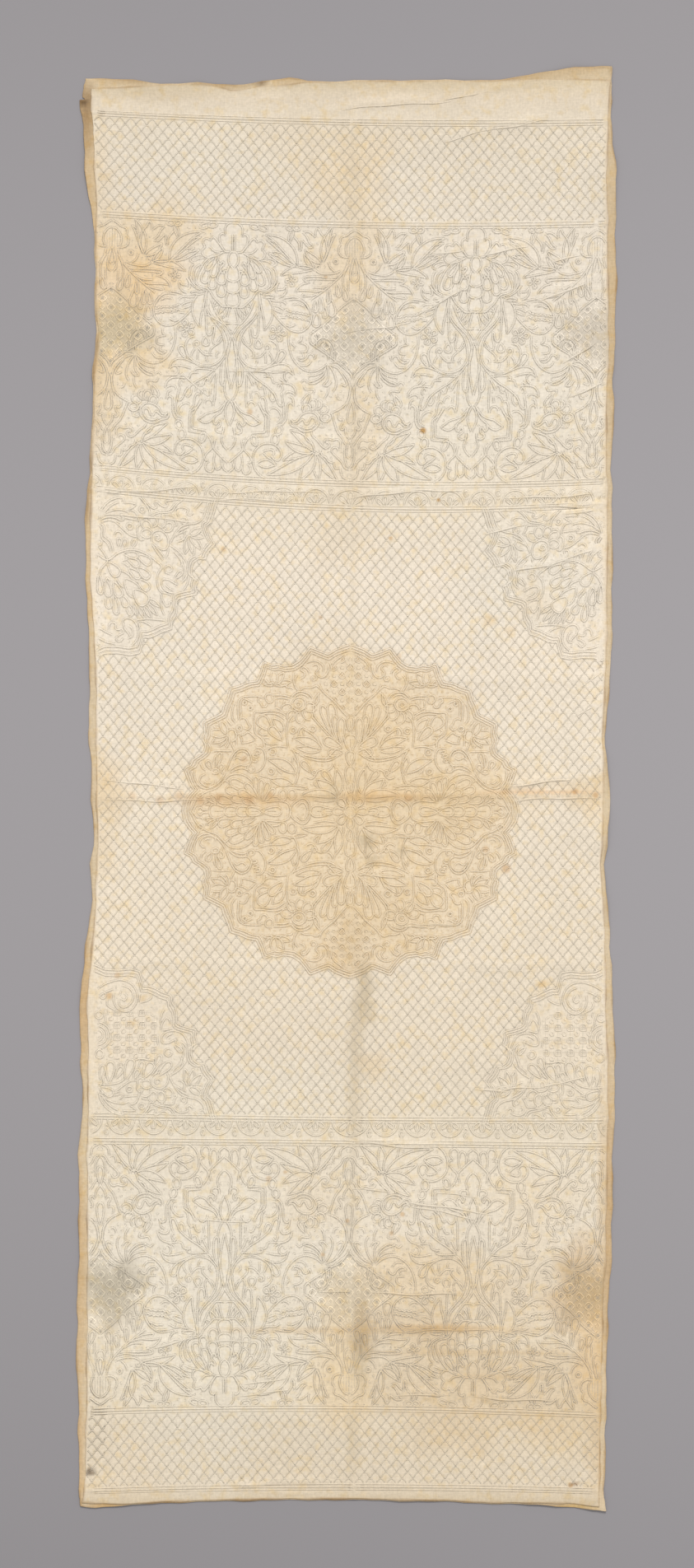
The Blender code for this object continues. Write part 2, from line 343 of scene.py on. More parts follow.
@dataclass
class Sketch:
    """A drawing made from front to back: what is drawn later passes behind solid shapes."""

    fineness: float = 1.2
    up: int = 1
    veined: bool = False
    origin: complex = 0
    strokes: list[Stroke] = field(default_factory=list)
    shapes: list[np.ndarray] = field(default_factory=list)

    def spot(self, across: float, along_it: float) -> complex:
        """A place given across and along the drawing."""
        return complex(across, self.up * along_it) - self.origin

    def line(self, *numbers: float) -> np.ndarray:
        """A smooth line through a few places, each given as across and along the drawing."""
        return along(*(self.spot(*pair) for pair in zip(numbers[::2], numbers[1::2])))

    def curls(self, *rows: tuple[float, ...]) -> None:
        """Draws open corded lines, each through a row of places given as across and along."""
        for row in rows:
            self.draw(self.line(*row), solid=False)

    def drops(self, *rows: tuple[float, ...]) -> None:
        """Draws straight petals with round ends, each a row of its base, its end and its width."""
        for x0, y0, x1, y1, width in rows:
            start, run = self.spot(x0, y0), self.spot(x1, y1) - self.spot(x0, y0)
            if self.veined and abs(run) > 17:
                self.draw(start + run * np.array((0.25, 0.72)), solid=False, line=Line.SEAM)
            self.draw(leaf(start, math.degrees(cmath.phase(run)), abs(run), width, tip=Tip.ROUND))

    def blades(self, *rows: tuple[float, ...]) -> None:
        """Draws pointed leaves, each a row of its base, its tip, its width and, if it bends, how far."""
        for x0, y0, x1, y1, width, *bends in rows:
            bend = sum(bends)
            start, run = self.spot(x0, y0), self.spot(x1, y1) - self.spot(x0, y0)
            turn = math.radians(bend)
            length = abs(run) * (turn / 2 / math.sin(turn / 2) if turn else 1.0)
            self.draw(leaf(start, math.degrees(cmath.phase(run)) - bend / 2, length, width, bend=bend))

    def rings(self, radius: float, *spots: tuple[float, float]) -> None:
        """Draws stitched eyelets: a seam ring in a corded one, at each place across and along."""
        for spot in spots:
            center = self.spot(*spot)
            self.draw(oval(center, radius, radius), line=Line.SEAM)
            self.draw(oval(center, radius * 2, radius * 2))

    def lobes(self, back: float, size: tuple[float, float], *rows: tuple[float, float, float]) -> None:
        """Draws round lobes about an eye, each a row of across, along and angle, with a bar behind it.

        Args:
            back: how far each bar lies behind the middle of its lobe.
            size: the width and height of a lobe.
            rows: where the lobes lie and which way they point, in degrees.
        """
        for across, down, angle in rows:
            center, way = self.spot(across, down), turned(angle)
            self.draw(center - back * way + np.array((-4, 4)) * way, solid=False)
            self.draw(oval(center, *size, angle))

    def corners(self, *pairs: tuple[float, float]) -> np.ndarray:
        """A line with straight stretches from place to place."""
        return np.array([self.spot(*pair) for pair in pairs])

    def draw(self, *paths: np.ndarray, solid: bool = True, line: Line = Line.CORD) -> None:
        """Adds lines behind what is there; solid ones then hide what comes after."""
        for path in paths:
            fine = resampled(path, self.fineness)
            hidden = np.zeros(len(fine), bool)
            low, high = min(fine.real) + 1j * min(fine.imag), max(fine.real) + 1j * max(fine.imag)
            for shape in self.shapes:
                apart = max(shape.real) < low.real or min(shape.real) > high.real
                if not (apart or max(shape.imag) < low.imag or min(shape.imag) > high.imag):
                    hidden |= inside(fine, shape)
            self.strokes += [Stroke(run, line) for run in runs(fine, ~hidden)]
            if solid and abs(path[0] - path[-1]) < 0.5:
                self.shapes.append(path)

    def fill(self, width: float, height: float, pitch: float, clear: float, radius: float) -> None:
        """Sets small scrolls wherever the drawing has left the ground bare.

        Args:
            width: how far across the ground runs from nought.
            height: how far along it runs, with the drawing's own sign.
            pitch: how far apart the scrolls may stand.
            clear: how far each one's middle keeps from every line.
            radius: how far each one reaches.
        """
        drawn = np.concatenate([stroke.path for stroke in self.strokes])
        columns, rows = np.arange(pitch / 2, width, pitch), np.arange(pitch / 2, abs(height), pitch * 0.87)
        across, down = np.meshgrid(columns, rows)
        across = across + np.where(np.arange(len(down))[:, None] % 2, pitch / 2, 0)
        spots = (across + 1j * down * np.sign(height)).ravel()
        for number, spot in enumerate(spots):
            if np.abs(drawn - spot).min() > clear:
                self.draw(scroll(spot, radius, 137.5 * number, 330, 0.2), solid=False, line=Line.SEAM)

    def kept(self, test: Callable[[np.ndarray], np.ndarray]) -> list[Stroke]:
        """The strokes cut down to where test holds."""
        return [Stroke(run, s.line) for s in self.strokes for run in runs(s.path, test(s.path))]

    def blossom(self, center: complex, radius: float, petals: int, turn: float = 90.0) -> None:
        """A small open flower: a ring with round petals about it."""
        self.draw(oval(center, radius * 0.5, radius * 0.5))
        for k in range(petals):
            angle = turn + 360 / petals * k
            base = center + radius * 0.26 * turned(angle)
            self.draw(leaf(base, angle, radius * 0.76, radius * 0.66, tip=Tip.ROUND))

    def lattice(
        self,
        center: complex,
        pitch: float,
        reach: float,
        turn: float,
        keep: Callable[[np.ndarray], np.ndarray],
        ring: Line = Line.BARE,
    ) -> None:
        """A trellis of stitched lines with a corded square at each crossing and each gap.

        Args:
            center: a crossing of the trellis.
            pitch: how far apart its lines lie.
            reach: how far it runs before it is cut.
            turn: the direction of its lines, in degrees.
            keep: which points lie on its ground.
            ring: how the squares are worked.
        """
        sides = (turned(turn), turned(turn + 90))
        corner = sides[0] * np.array((1 + 1j, -1 + 1j, -1 - 1j, 1 - 1j, 1 + 1j)) / 2
        steps = range(-int(reach / pitch) - 1, int(reach / pitch) + 2)
        patch = Sketch(fineness=1.0, shapes=list(self.shapes))
        steps = [step for step in steps if abs(step) * pitch < reach]
        for i in steps:
            for j in steps:
                crossing = center + pitch * (i * sides[0] + j * sides[1])
                gap = crossing + pitch / 2 * (sides[0] + sides[1])
                for spot, size in ((crossing, 0.52), (gap, 0.3)):
                    patch.draw(spot + corner * pitch * size, solid=False, line=ring)
                for size in (0.16,) if ring is Line.PALE else (0.16, 0.36):
                    patch.draw(crossing + corner * pitch * size, solid=False, line=Line.SEAM)
        for i in steps:
            for side, other in (sides, sides[::-1]):
                bar = center + i * pitch * side + np.array((-reach, reach)) * other
                patch.draw(bar, solid=False, line=Line.SEAM)
        self.strokes += patch.kept(keep)


@dataclass
class FlowerBand:
    """The broad floral band of each end: a half tile, mirrored about both of its side axes."""

    width: float = 187.0
    depth: float = 399.0
    overhang: float = 26.0
    sketch: Sketch = field(default_factory=lambda: Sketch(up=-1))

    def palmette(self) -> None:
        """The palmette that hangs from the outer rule on the tile's first axis."""
        s = self.sketch
        s.curls((1.8, 21, 1.8, 47))
        s.draw(paired(s.line(0, 48, 5, 50, 8, 59, 6, 68, 0, 74)))
        dome = np.concatenate((s.line(0, 2.5, 8, 4.5, 13.5, 12, 13, 24), s.line(13, 24, 17, 20.5,
                               22, 25, 21, 35, 17, 43, 13, 49)))
        s.draw(paired(dome))
        s.curls(
            (22, 54, 24, 63, 20, 69, 17, 64.5, 14, 66, 16, 70.5, 20, 75, 19, 81, 15, 82, 13, 78, 9.5, 78.5,
             9.5, 84, 11, 90),
        )
        for bottom in (95, 113, 134):
            s.draw(leaf(s.spot(0, bottom - 32), -90, 32, 24, tip=Tip.ROUND))
        s.drops(
            (27, 58, 42, 79, 9), (24, 62, 32, 89, 11), (39, 74, 45, 99, 13), (16, 76, 19, 100, 15),
            (30, 84, 33, 108, 13), (17, 95, 18, 119, 14),
        )
        s.draw(paired(s.line(0, 47, 14, 49, 24, 55, 38, 60, 48, 72, 55, 87, 57, 99, 50, 105, 38, 108,
                             30, 120, 16, 134)))
        s.curls((18, 50, 28, 49.5, 34, 45, 37, 41))
        s.draw(np.concatenate((s.line(13, 49, 22, 37, 29, 28, 33, 27, 36, 33),
                               s.line(36, 33, 39, 30, 45, 30.5, 47.5, 36, 43.5, 43),
                               s.line(43.5, 43, 48, 47, 48, 54, 40, 59, 28, 54, 13, 49))))
        s.curls(
            (26, 57, 42, 56, 54, 56, 64, 60, 66.5, 66, 60, 68.5),
            (60, 69, 65, 75, 67, 85, 65, 94, 60, 102, 51, 107, 41, 110), (71, 92, 66, 99, 60, 105, 48, 111),
            (42, 60, 52, 61, 60, 65), (50, 70, 58, 76, 61, 88, 60, 98),
        )
        s.draw(leaf(s.spot(45, 115), 2, 20, 5))
        s.blades((10, 117, 30, 134, 7), (9, 124, 23, 147, 7), (9, 130, 15, 152, 7))
        s.curls((38, 130, 37, 140, 31, 150, 20, 161, 11, 171, 6, 182, 4, 196, 7, 210))
        s.draw(paired(s.line(34, 122, 26, 142, 15, 158, 12, 160, 0, 159)))
        s.curls((4, 135, 7, 147, 9, 158), (12, 160, 7, 167, 2, 175, 0, 178))

    def squiggle(self) -> None:
        """The winding stem and the ring scroll below the palmette's side."""
        s = self.sketch
        s.curls(
            (40, 110, 41, 125, 41, 145, 40, 165, 39, 176, 35, 180, 31, 175, 30, 166, 27.5, 166, 28, 176,
             30, 187, 27, 193, 21, 188, 17, 180, 15, 181, 18, 188, 26, 195, 33, 202, 34, 209, 29, 210),
        )
        s.drops((40, 182, 41, 196, 12))
        s.draw(scroll(s.spot(54, 194), 5.5, -60, 420, 0.2), solid=False)
        s.curls(
            (31, 210, 42, 210, 49, 204, 53, 199), (39, 211, 39, 218, 36, 222), (51, 204, 52.5, 212, 52, 220),
            (56, 201, 61, 208, 63, 216), (19, 204, 24, 209, 22, 215),
            (57, 182, 66, 186, 71, 195, 70, 208, 62, 219, 48, 226, 30, 226, 17, 217, 11, 204, 12, 188,
             17, 172, 30, 156, 38, 144, 39, 132),
        )
        s.draw(leaf(s.spot(68, 219), 52, 24, 11, bend=20, tip=Tip.ROUND))
        s.draw(leaf(s.spot(41, 110), -48, 62, 17, bend=-68))
        s.curls((46, 138, 48, 150, 52, 160), (37, 148, 44, 147))
        s.blossom(s.spot(70, 171), 13, 5, 0)

    def spray(self) -> None:
        """The leaf sprays that fill the top of the tile, and the small blossom under them."""
        s = self.sketch
        s.draw(oval(s.spot(32, 8), 14, 8, -10), oval(s.spot(45, 10), 15, 8, -18))
        s.draw(oval(s.spot(97, 8), 12, 8), oval(s.spot(86, 8), 11, 8, -20))
        s.blades(
            (98, 67, 49, 20, 15, 62), (98, 67, 50, 27, 9, 34), (98, 67, 60, 45, 9, 18),
            (98, 67, 52, 47, 8, -16), (97, 64, 90, 37, 6, -20), (92, 9, 85, 32, 6, 12),
        )
        s.curls(
            (90, 18, 96, 25, 101, 32, 101.5, 42, 104, 41, 105, 26), (105, 26, 111, 32, 117, 38, 124, 36),
            (124, 36, 117, 30, 112, 20, 106, 14), (106, 14, 115, 13, 121, 17, 127, 22),
            (127, 22, 126, 14, 130, 7, 134, 15, 140, 22, 143, 31, 144, 45, 137, 60),
        )
        s.blades(
            (139, 59, 152, 5, 11, -34), (139, 59, 157, 15, 9, -44), (137, 61, 110, 40, 9, -34),
            (124, 69, 109, 47, 7, -24),
        )
        s.curls((98, 67, 110, 70, 122, 69, 132, 62), (125, 70, 132, 64, 133, 69))
        s.blades((125, 71, 73, 82, 11, 42))
        s.curls((126, 71, 132, 76, 142, 78, 158, 76, 166, 72), (146, 58, 150, 68, 158, 75))
        s.blossom(s.spot(90, 89), 9, 4, 10)
        s.curls((71, 92, 67, 100, 66, 107, 70, 108), (68, 104, 79, 103, 82, 97, 83, 105, 78, 113, 70, 116))
        s.rings(3.6, (158, 58))
        s.curls(
            (163, 81, 150, 84, 135, 82, 120, 82, 108, 84, 112, 90, 119, 90), (113, 87, 126, 86, 158, 86),
            (152, 92, 141, 98, 130, 99, 122, 98), (119, 91, 106, 95, 98, 103, 96, 109),
            (142, 102, 128, 105, 112, 104, 98, 105), (134, 107, 124, 111, 107, 113, 110, 109),
        )

    def nautilus(self) -> None:
        """The shell scroll beside the lattice, and its stem."""
        s = self.sketch
        for shift in (0, 7.5):
            s.draw(scallops(s.line(80, 136 + shift, 92, 141 + shift, 106, 142 + shift, 121, 146 + shift),
                            6 if shift else 7, 3.4), solid=False)
        s.draw(scallops(s.line(93, 128, 102, 127, 113, 132), 4, 2.4), solid=False)
        s.curls(
            (82, 158, 90, 160.5, 98, 156), (73, 147, 83, 147), (110, 157, 112, 163),
            (62, 128, 72, 131, 80, 136), (60, 133, 70, 138, 78, 140),
            (86, 119, 100, 118, 112, 124, 118, 134),
            (36, 108, 47, 120, 57, 132, 68, 147, 80, 159, 92, 167, 106, 168, 117, 160, 122, 148, 119, 134,
             110, 122, 98, 115, 84, 116, 76, 118), (52, 118, 64, 122, 76, 122, 84, 127),
            (46, 112, 56, 117, 66, 117),
        )

    def mushroom(self) -> None:
        """The mushroom calyx on the second axis, with its splayed stems, fingers and lattice."""
        s, axis = self.sketch, self.width
        for near in (0.5, 4, 8):
            s.draw(s.line(axis - near, 22 + near, axis - near, 51), solid=False, line=Line.SEAM)
        s.curls(
            (axis, 20, 180, 23, 174, 32, 173, 42, 176, 50),
            (axis, 9, 180, 13, 174, 18, 167, 20, 164, 25, 166, 31),
            (166, 31, 162, 37, 163, 46, 170, 51, 179, 51),
        )
        s.drops((axis, 54, axis, 78, 9), (axis, 52, axis, 90, 15))
        s.curls(
            (178, 52, 176, 62, 171, 73, 162, 84, 148, 97, 133, 109, 119, 119), (179, 60, 170, 80, 170, 100),
            (177, 84, 178, 104),
        )
        s.drops(
            (161, 92, 164, 113, 8), (171, 98, 176, 118, 9), (148, 100, 148, 123, 6), (136, 114, 137, 138, 8),
            (151, 116, 154, 143, 13), (129, 118, 127, 137, 8), (130, 138, 129, 160, 13),
            (142, 128, 143, 146, 8),
        )

        def ground(path: np.ndarray) -> np.ndarray:
            """Which points lie on the lattice's own diamond."""
            return np.abs(path.real - axis) / 66 + np.abs(-path.imag - 174) / 58 < 1

        s.lattice(s.spot(axis, 174), 19.6, 90, 45, ground, Line.PALE)
        s.curls(
            (119, 172, 135, 160, 148, 150, 165, 131, axis, 114),
            (119, 182, 128, 190, 150, 204, 170, 219, axis, 234),
            (121, 170, 120, 180, 124, 188, 130, 182, 128, 170, 123, 166),
        )

    def lancets(self) -> None:
        """The lancets on the first axis and the hooked leaves beside them."""
        s = self.sketch
        s.draw(leaf(s.spot(0, 180), -90, 82, 15))
        s.draw(leaf(s.spot(0, 279), -90, 40, 14))
        s.curls(
            (7, 210, 9, 225, 9, 245, 10, 262, 6, 274, 0, 283), (10, 211, 18, 223, 26, 232),
            (14, 220, 17, 236, 16, 252, 11, 257, 9, 248), (26, 232, 38, 243, 52, 252, 64, 262, 70, 270),
            (24, 234, 40, 232, 54, 233, 57, 238, 50, 238.5), (50, 238.5, 62, 240, 64, 247, 69, 249),
            (30, 229, 45, 229, 60, 223, 72, 219, 83, 219, 92, 225, 96, 236),
            (96, 236, 89, 230, 76, 230, 62, 233), (88, 230, 82, 233, 82, 241, 87, 245),
            (74, 241, 80, 246, 86, 247), (69, 249, 83, 248, 94, 251, 100, 259, 101, 267),
            (101, 267, 94, 262, 86, 262, 84, 268), (72, 256, 76, 250, 80, 258, 76, 262),
            (24, 236, 30, 246, 33, 253, 36, 253), (36, 253, 37, 246, 41, 251, 43, 258, 49, 258),
            (49, 258, 50, 254, 53, 263, 54, 270), (23, 238, 24, 255, 24, 275, 26, 290), (31, 262, 32, 275),
            (26, 289, 28, 282, 33, 279, 38, 282, 40, 287), (36, 266, 40, 264, 44, 268, 46, 275),
            (46, 275, 51, 271, 55, 279, 56, 290, 61, 297), (60, 262, 61, 272, 66, 278, 69, 273),
            (66, 262, 70, 271, 75, 282, 80, 284, 82, 277),
            (61, 289, 68, 287, 76, 292, 80, 301, 77, 309, 72, 310),
            (78, 263, 81, 275, 83, 290, 83, 301, 78, 311),
            (98, 284, 95, 278, 89, 281, 88, 293, 87, 304, 81, 313, 74, 313), (90, 268, 96, 272, 98, 284),
        )

    def shield(self) -> None:
        """The stepped shield on the first axis, with its hanging lobes."""
        s = self.sketch
        s.draw(np.concatenate((s.line(6, 280, 15, 293, 24, 298, 34, 301, 42, 307, 48, 311),
                               s.line(48, 311, 38, 316, 29, 313, 22, 305, 12, 296, 6, 280))))
        s.curls(
            (22, 306, 25, 313, 20, 318, 16, 311, 13, 316, 15, 321, 20, 323, 19, 328, 14, 330, 8, 327,
             8, 320),
        )
        s.draw(paired(s.line(8, 320, 9, 331, 11, 340, 7, 350, 0, 357)))
        for near in (0, 5):
            side = 56 + near
            s.draw(s.corners((42 + near / 2, 279), (50, 292), (side, 303 - near / 2), (side, 326 + near),
                             (34, 328 + near)), solid=False)
        s.draw(oval(s.spot(40, 339), 9, 17, 18))
        s.draw(s.corners((20, 339), (23, 355), (12, 366), (0, 377)), solid=False)
        s.curls(
            (34, 333, 27, 342, 24, 353, 31, 361, 36, 368, 35, 374, 29, 374),
            (29, 375, 34, 380, 34, 388, 27, 392, 22, 386, 22, 372, 20, 362),
            (11, 368, 10, 380, 14, 387, 19, 386, 21, 377),
        )
        s.draw(paired(s.line(7, 372, 8, 384, 0, 391)))

    def corner_flowers(self) -> None:
        """The daisy, coxcomb, berries and scrolls that fill the tile's inner corner."""
        s, axis = self.sketch, self.width
        s.draw(oval(s.spot(77, 322), 10, 14, -20), oval(s.spot(72, 336), 11, 16))
        s.curls((53, 356, 60, 353, 68, 352, 71, 357, 68, 361), (53, 356, 60, 363, 68, 368, 74, 375))
        s.draw(np.concatenate((s.line(45, 374, 53, 369, 62, 368, 74, 375), s.line(74, 375, 62, 379.5,
                               52, 379, 45, 374))))
        s.curls(
            (66, 360, 71, 367, 78, 368, 82, 360, 79, 350, 68, 343, 54, 344, 42, 354, 38, 368, 41, 382,
             50, 393, 62, 398),
            (98, 304, 98, 309, 104, 310, 109, 306, 113, 303, 116, 307, 118, 311, 122, 309, 124, 303,
             128, 299, 132, 302, 132, 309, 126, 316, 116, 317, 108, 313),
        )
        s.draw(s.line(94, 303, 93, 308, 97, 314, 105, 316, 113, 321, 124, 321, 133, 316, 138, 307,
                      136, 298, 129, 292, 119, 292, 110, 297, 104, 306, 98, 307, 94, 303))
        for across, down, angle in (
            (118, 288, 100), (127, 282, 92), (134, 284, 60), (142, 291, 40), (146, 299, 5), (143, 307, -25),
        ):
            s.draw(s.spot(across, down) + np.array((-3.5, 3.5)) * turned(angle), solid=False)
        for across, down, angle in (
            (116, 281, 112), (127, 273, 95), (137, 274, 68), (149, 283, 38), (154, 299, 2), (147, 311, -38),
        ):
            s.draw(oval(s.spot(across, down) - 6 * turned(angle), 15, 13, angle))
        s.curls(
            (116, 322, 118, 330, 123, 337, 131, 341),
            (127, 321, 129, 328, 137, 335, 143, 342, 150, 347, 156, 343, 153, 337, 149, 340),
            (149, 340, 147, 335, 153, 332, 161, 334, 168, 332, 173, 338, 172, 347),
            (129, 352, 134, 356, 140, 355, 142, 350),
        )
        s.blades(
            (133, 352, 94, 320, 12, 28), (133, 352, 87, 337, 12, -34), (133, 352, 84, 368, 11, 26),
            (133, 352, 60, 391, 15, -30), (133, 352, 110, 398, 16, -18), (133, 352, 140, 397, 13, 0),
            (133, 352, 170, 397, 12, 10),
        )
        s.curls(
            (142, 350, 145, 358, 151, 360, 153, 365, 160, 369, 163, 366), (163, 366, 165, 377, 173, 376),
            (173, 376, 175, 387, 180, 392, axis, 394),
            (170, 351, 168, 345, 161, 346, 160, 352, 168, 360, 175, 367, 180, 376, axis, 378),
            (88, 170, 87, 185, 90, 200, 96, 213, 107, 224, 121, 229, 136, 225, 148, 216),
            (107, 172, 107, 181, 102, 184, 110, 186, 116, 190, 115, 198, 108, 199, 103, 199),
            (109, 200, 111, 207, 105, 209, 101, 208, 107, 213, 115, 209, 119, 202, 125, 203, 128, 209,
             130, 201), (105, 219, 115, 220, 121, 215, 123, 211), (91, 184, 95, 190, 99, 192),
            (130, 191, 131, 182, 140, 176, 150, 180, 157, 190, 159, 203, 158, 212),
            (134, 193, 136, 185, 142, 181, 149, 187, 153, 197, 152, 210), (142, 194, 148, 203, 149, 212),
            (152, 213, 166, 214, 176, 221, 184, 232, axis, 240),
            (150, 217, 163, 222, 173, 231, 181, 243, 184, 258, 180, 274, 170, 285, 156, 292),
            (150, 218, 158, 230, 162, 244, 161, 253, 157, 259),
            (164, 223, 172, 234, 178, 245, 176, 250, 168, 246),
            (148, 219, 149, 232, 148, 242, 142, 249, 149, 250, 155, 242), (150, 251, 149, 262, 144, 271),
            (147, 218, 141, 228, 130, 234, 117, 235),
            (146, 221, 141, 233, 131, 241, 118, 246, 128, 247, 138, 241, 145, 233),
            (107, 247, 112, 242, 118, 246), (112, 250, 115, 257, 122, 256, 129, 257, 126, 264),
        )
        s.drops((122, 262, 112, 280, 9), (axis, 274, axis, 308, 12), (axis, 334, axis, 361, 11))
        s.curls(
            (168, 290, 167, 298, 171, 303, 175, 300, 175, 307, 171, 313, 175, 318, 179, 313, 180, 323,
             axis, 333), (157, 291, 161, 304, 167, 320, 175, 330, 179, 338, axis, 344),
            (180, 345, 180, 362, 183, 372, axis, 376), (163, 262, 166, 270, 172, 270),
            (axis, 248, 184, 256, 182, 272, 176, 286),
        )

    def strokes(self) -> list[Stroke]:
        """The whole band: its half tile, mirrored out to both sides of the middle line."""
        self.palmette()
        self.squiggle()
        self.spray()
        self.nautilus()
        self.mushroom()
        self.lancets()
        self.shield()
        self.corner_flowers()
        self.sketch.fill(self.width, -self.depth, 10.0, 4.8, 3.2)

        def in_tile(path: np.ndarray) -> np.ndarray:
            """Which points lie in the half tile."""
            across = (path.real >= 0) & (path.real <= self.width)
            return across & (path.imag < -1.5) & (path.imag > 2 - self.depth)

        half = self.sketch.kept(in_tile)
        whole = []
        for stroke in half:
            right, left = stroke.path, -np.conj(stroke.path)
            for axis in (-self.width, self.width):
                whole += [Stroke(right + axis, stroke.line), Stroke(left + axis, stroke.line)]
            for run in runs(stroke.path, stroke.path.real > self.width - self.overhang):
                outer = -np.conj(run) + 3 * self.width
                whole += [Stroke(outer, stroke.line), Stroke(-np.conj(outer), stroke.line)]
        return whole


@dataclass
class GuardBorder:
    """The narrow border of arches between two rules."""

    pitch: float = 50.0
    middle: float = 2.5
    depth: float = 38.0
    arches: int = 8

    def arch(self, s: Sketch, center: float, half: float, foot: float) -> None:
        """One arch on its feet, with a three-lobed sprig in it."""
        grow = half / 21
        s.drops((center, foot, center, foot + 15.5 * grow, 7.5 * grow))
        for side in (-1, 1):
            s.drops((center + side * 1.5, foot, center + side * 13.5 * grow, foot + 11 * grow, 6.5 * grow))
        for near in (0, 4.5):
            around = np.radians(np.linspace(0, 180, 25))
            dome = center + (half - near) * np.cos(around) + 1j * (foot + (23.5 - near) * np.sin(around))
            s.draw(dome, solid=False, line=Line.SEAM if near else Line.CORD)

    def strokes(self) -> list[Stroke]:
        """The border's arches, standing on its inner rule, from one side of the panel to the other."""
        s, foot = Sketch(), 4 - self.depth
        self.arch(s, self.middle, 28, foot)
        for side in (-1, 1):
            for k in range(self.arches):
                self.arch(s, self.middle + side * (53.5 + self.pitch * k), 21, foot)
                between = self.middle + side * (29.5 + (self.pitch - 0.5) * k)
                s.draw(oval(complex(between, foot + 20), 6, 10), solid=False)
                s.curls((between - 3, foot + 14, between, foot + 10, between + 3, foot + 14))
        return s.strokes


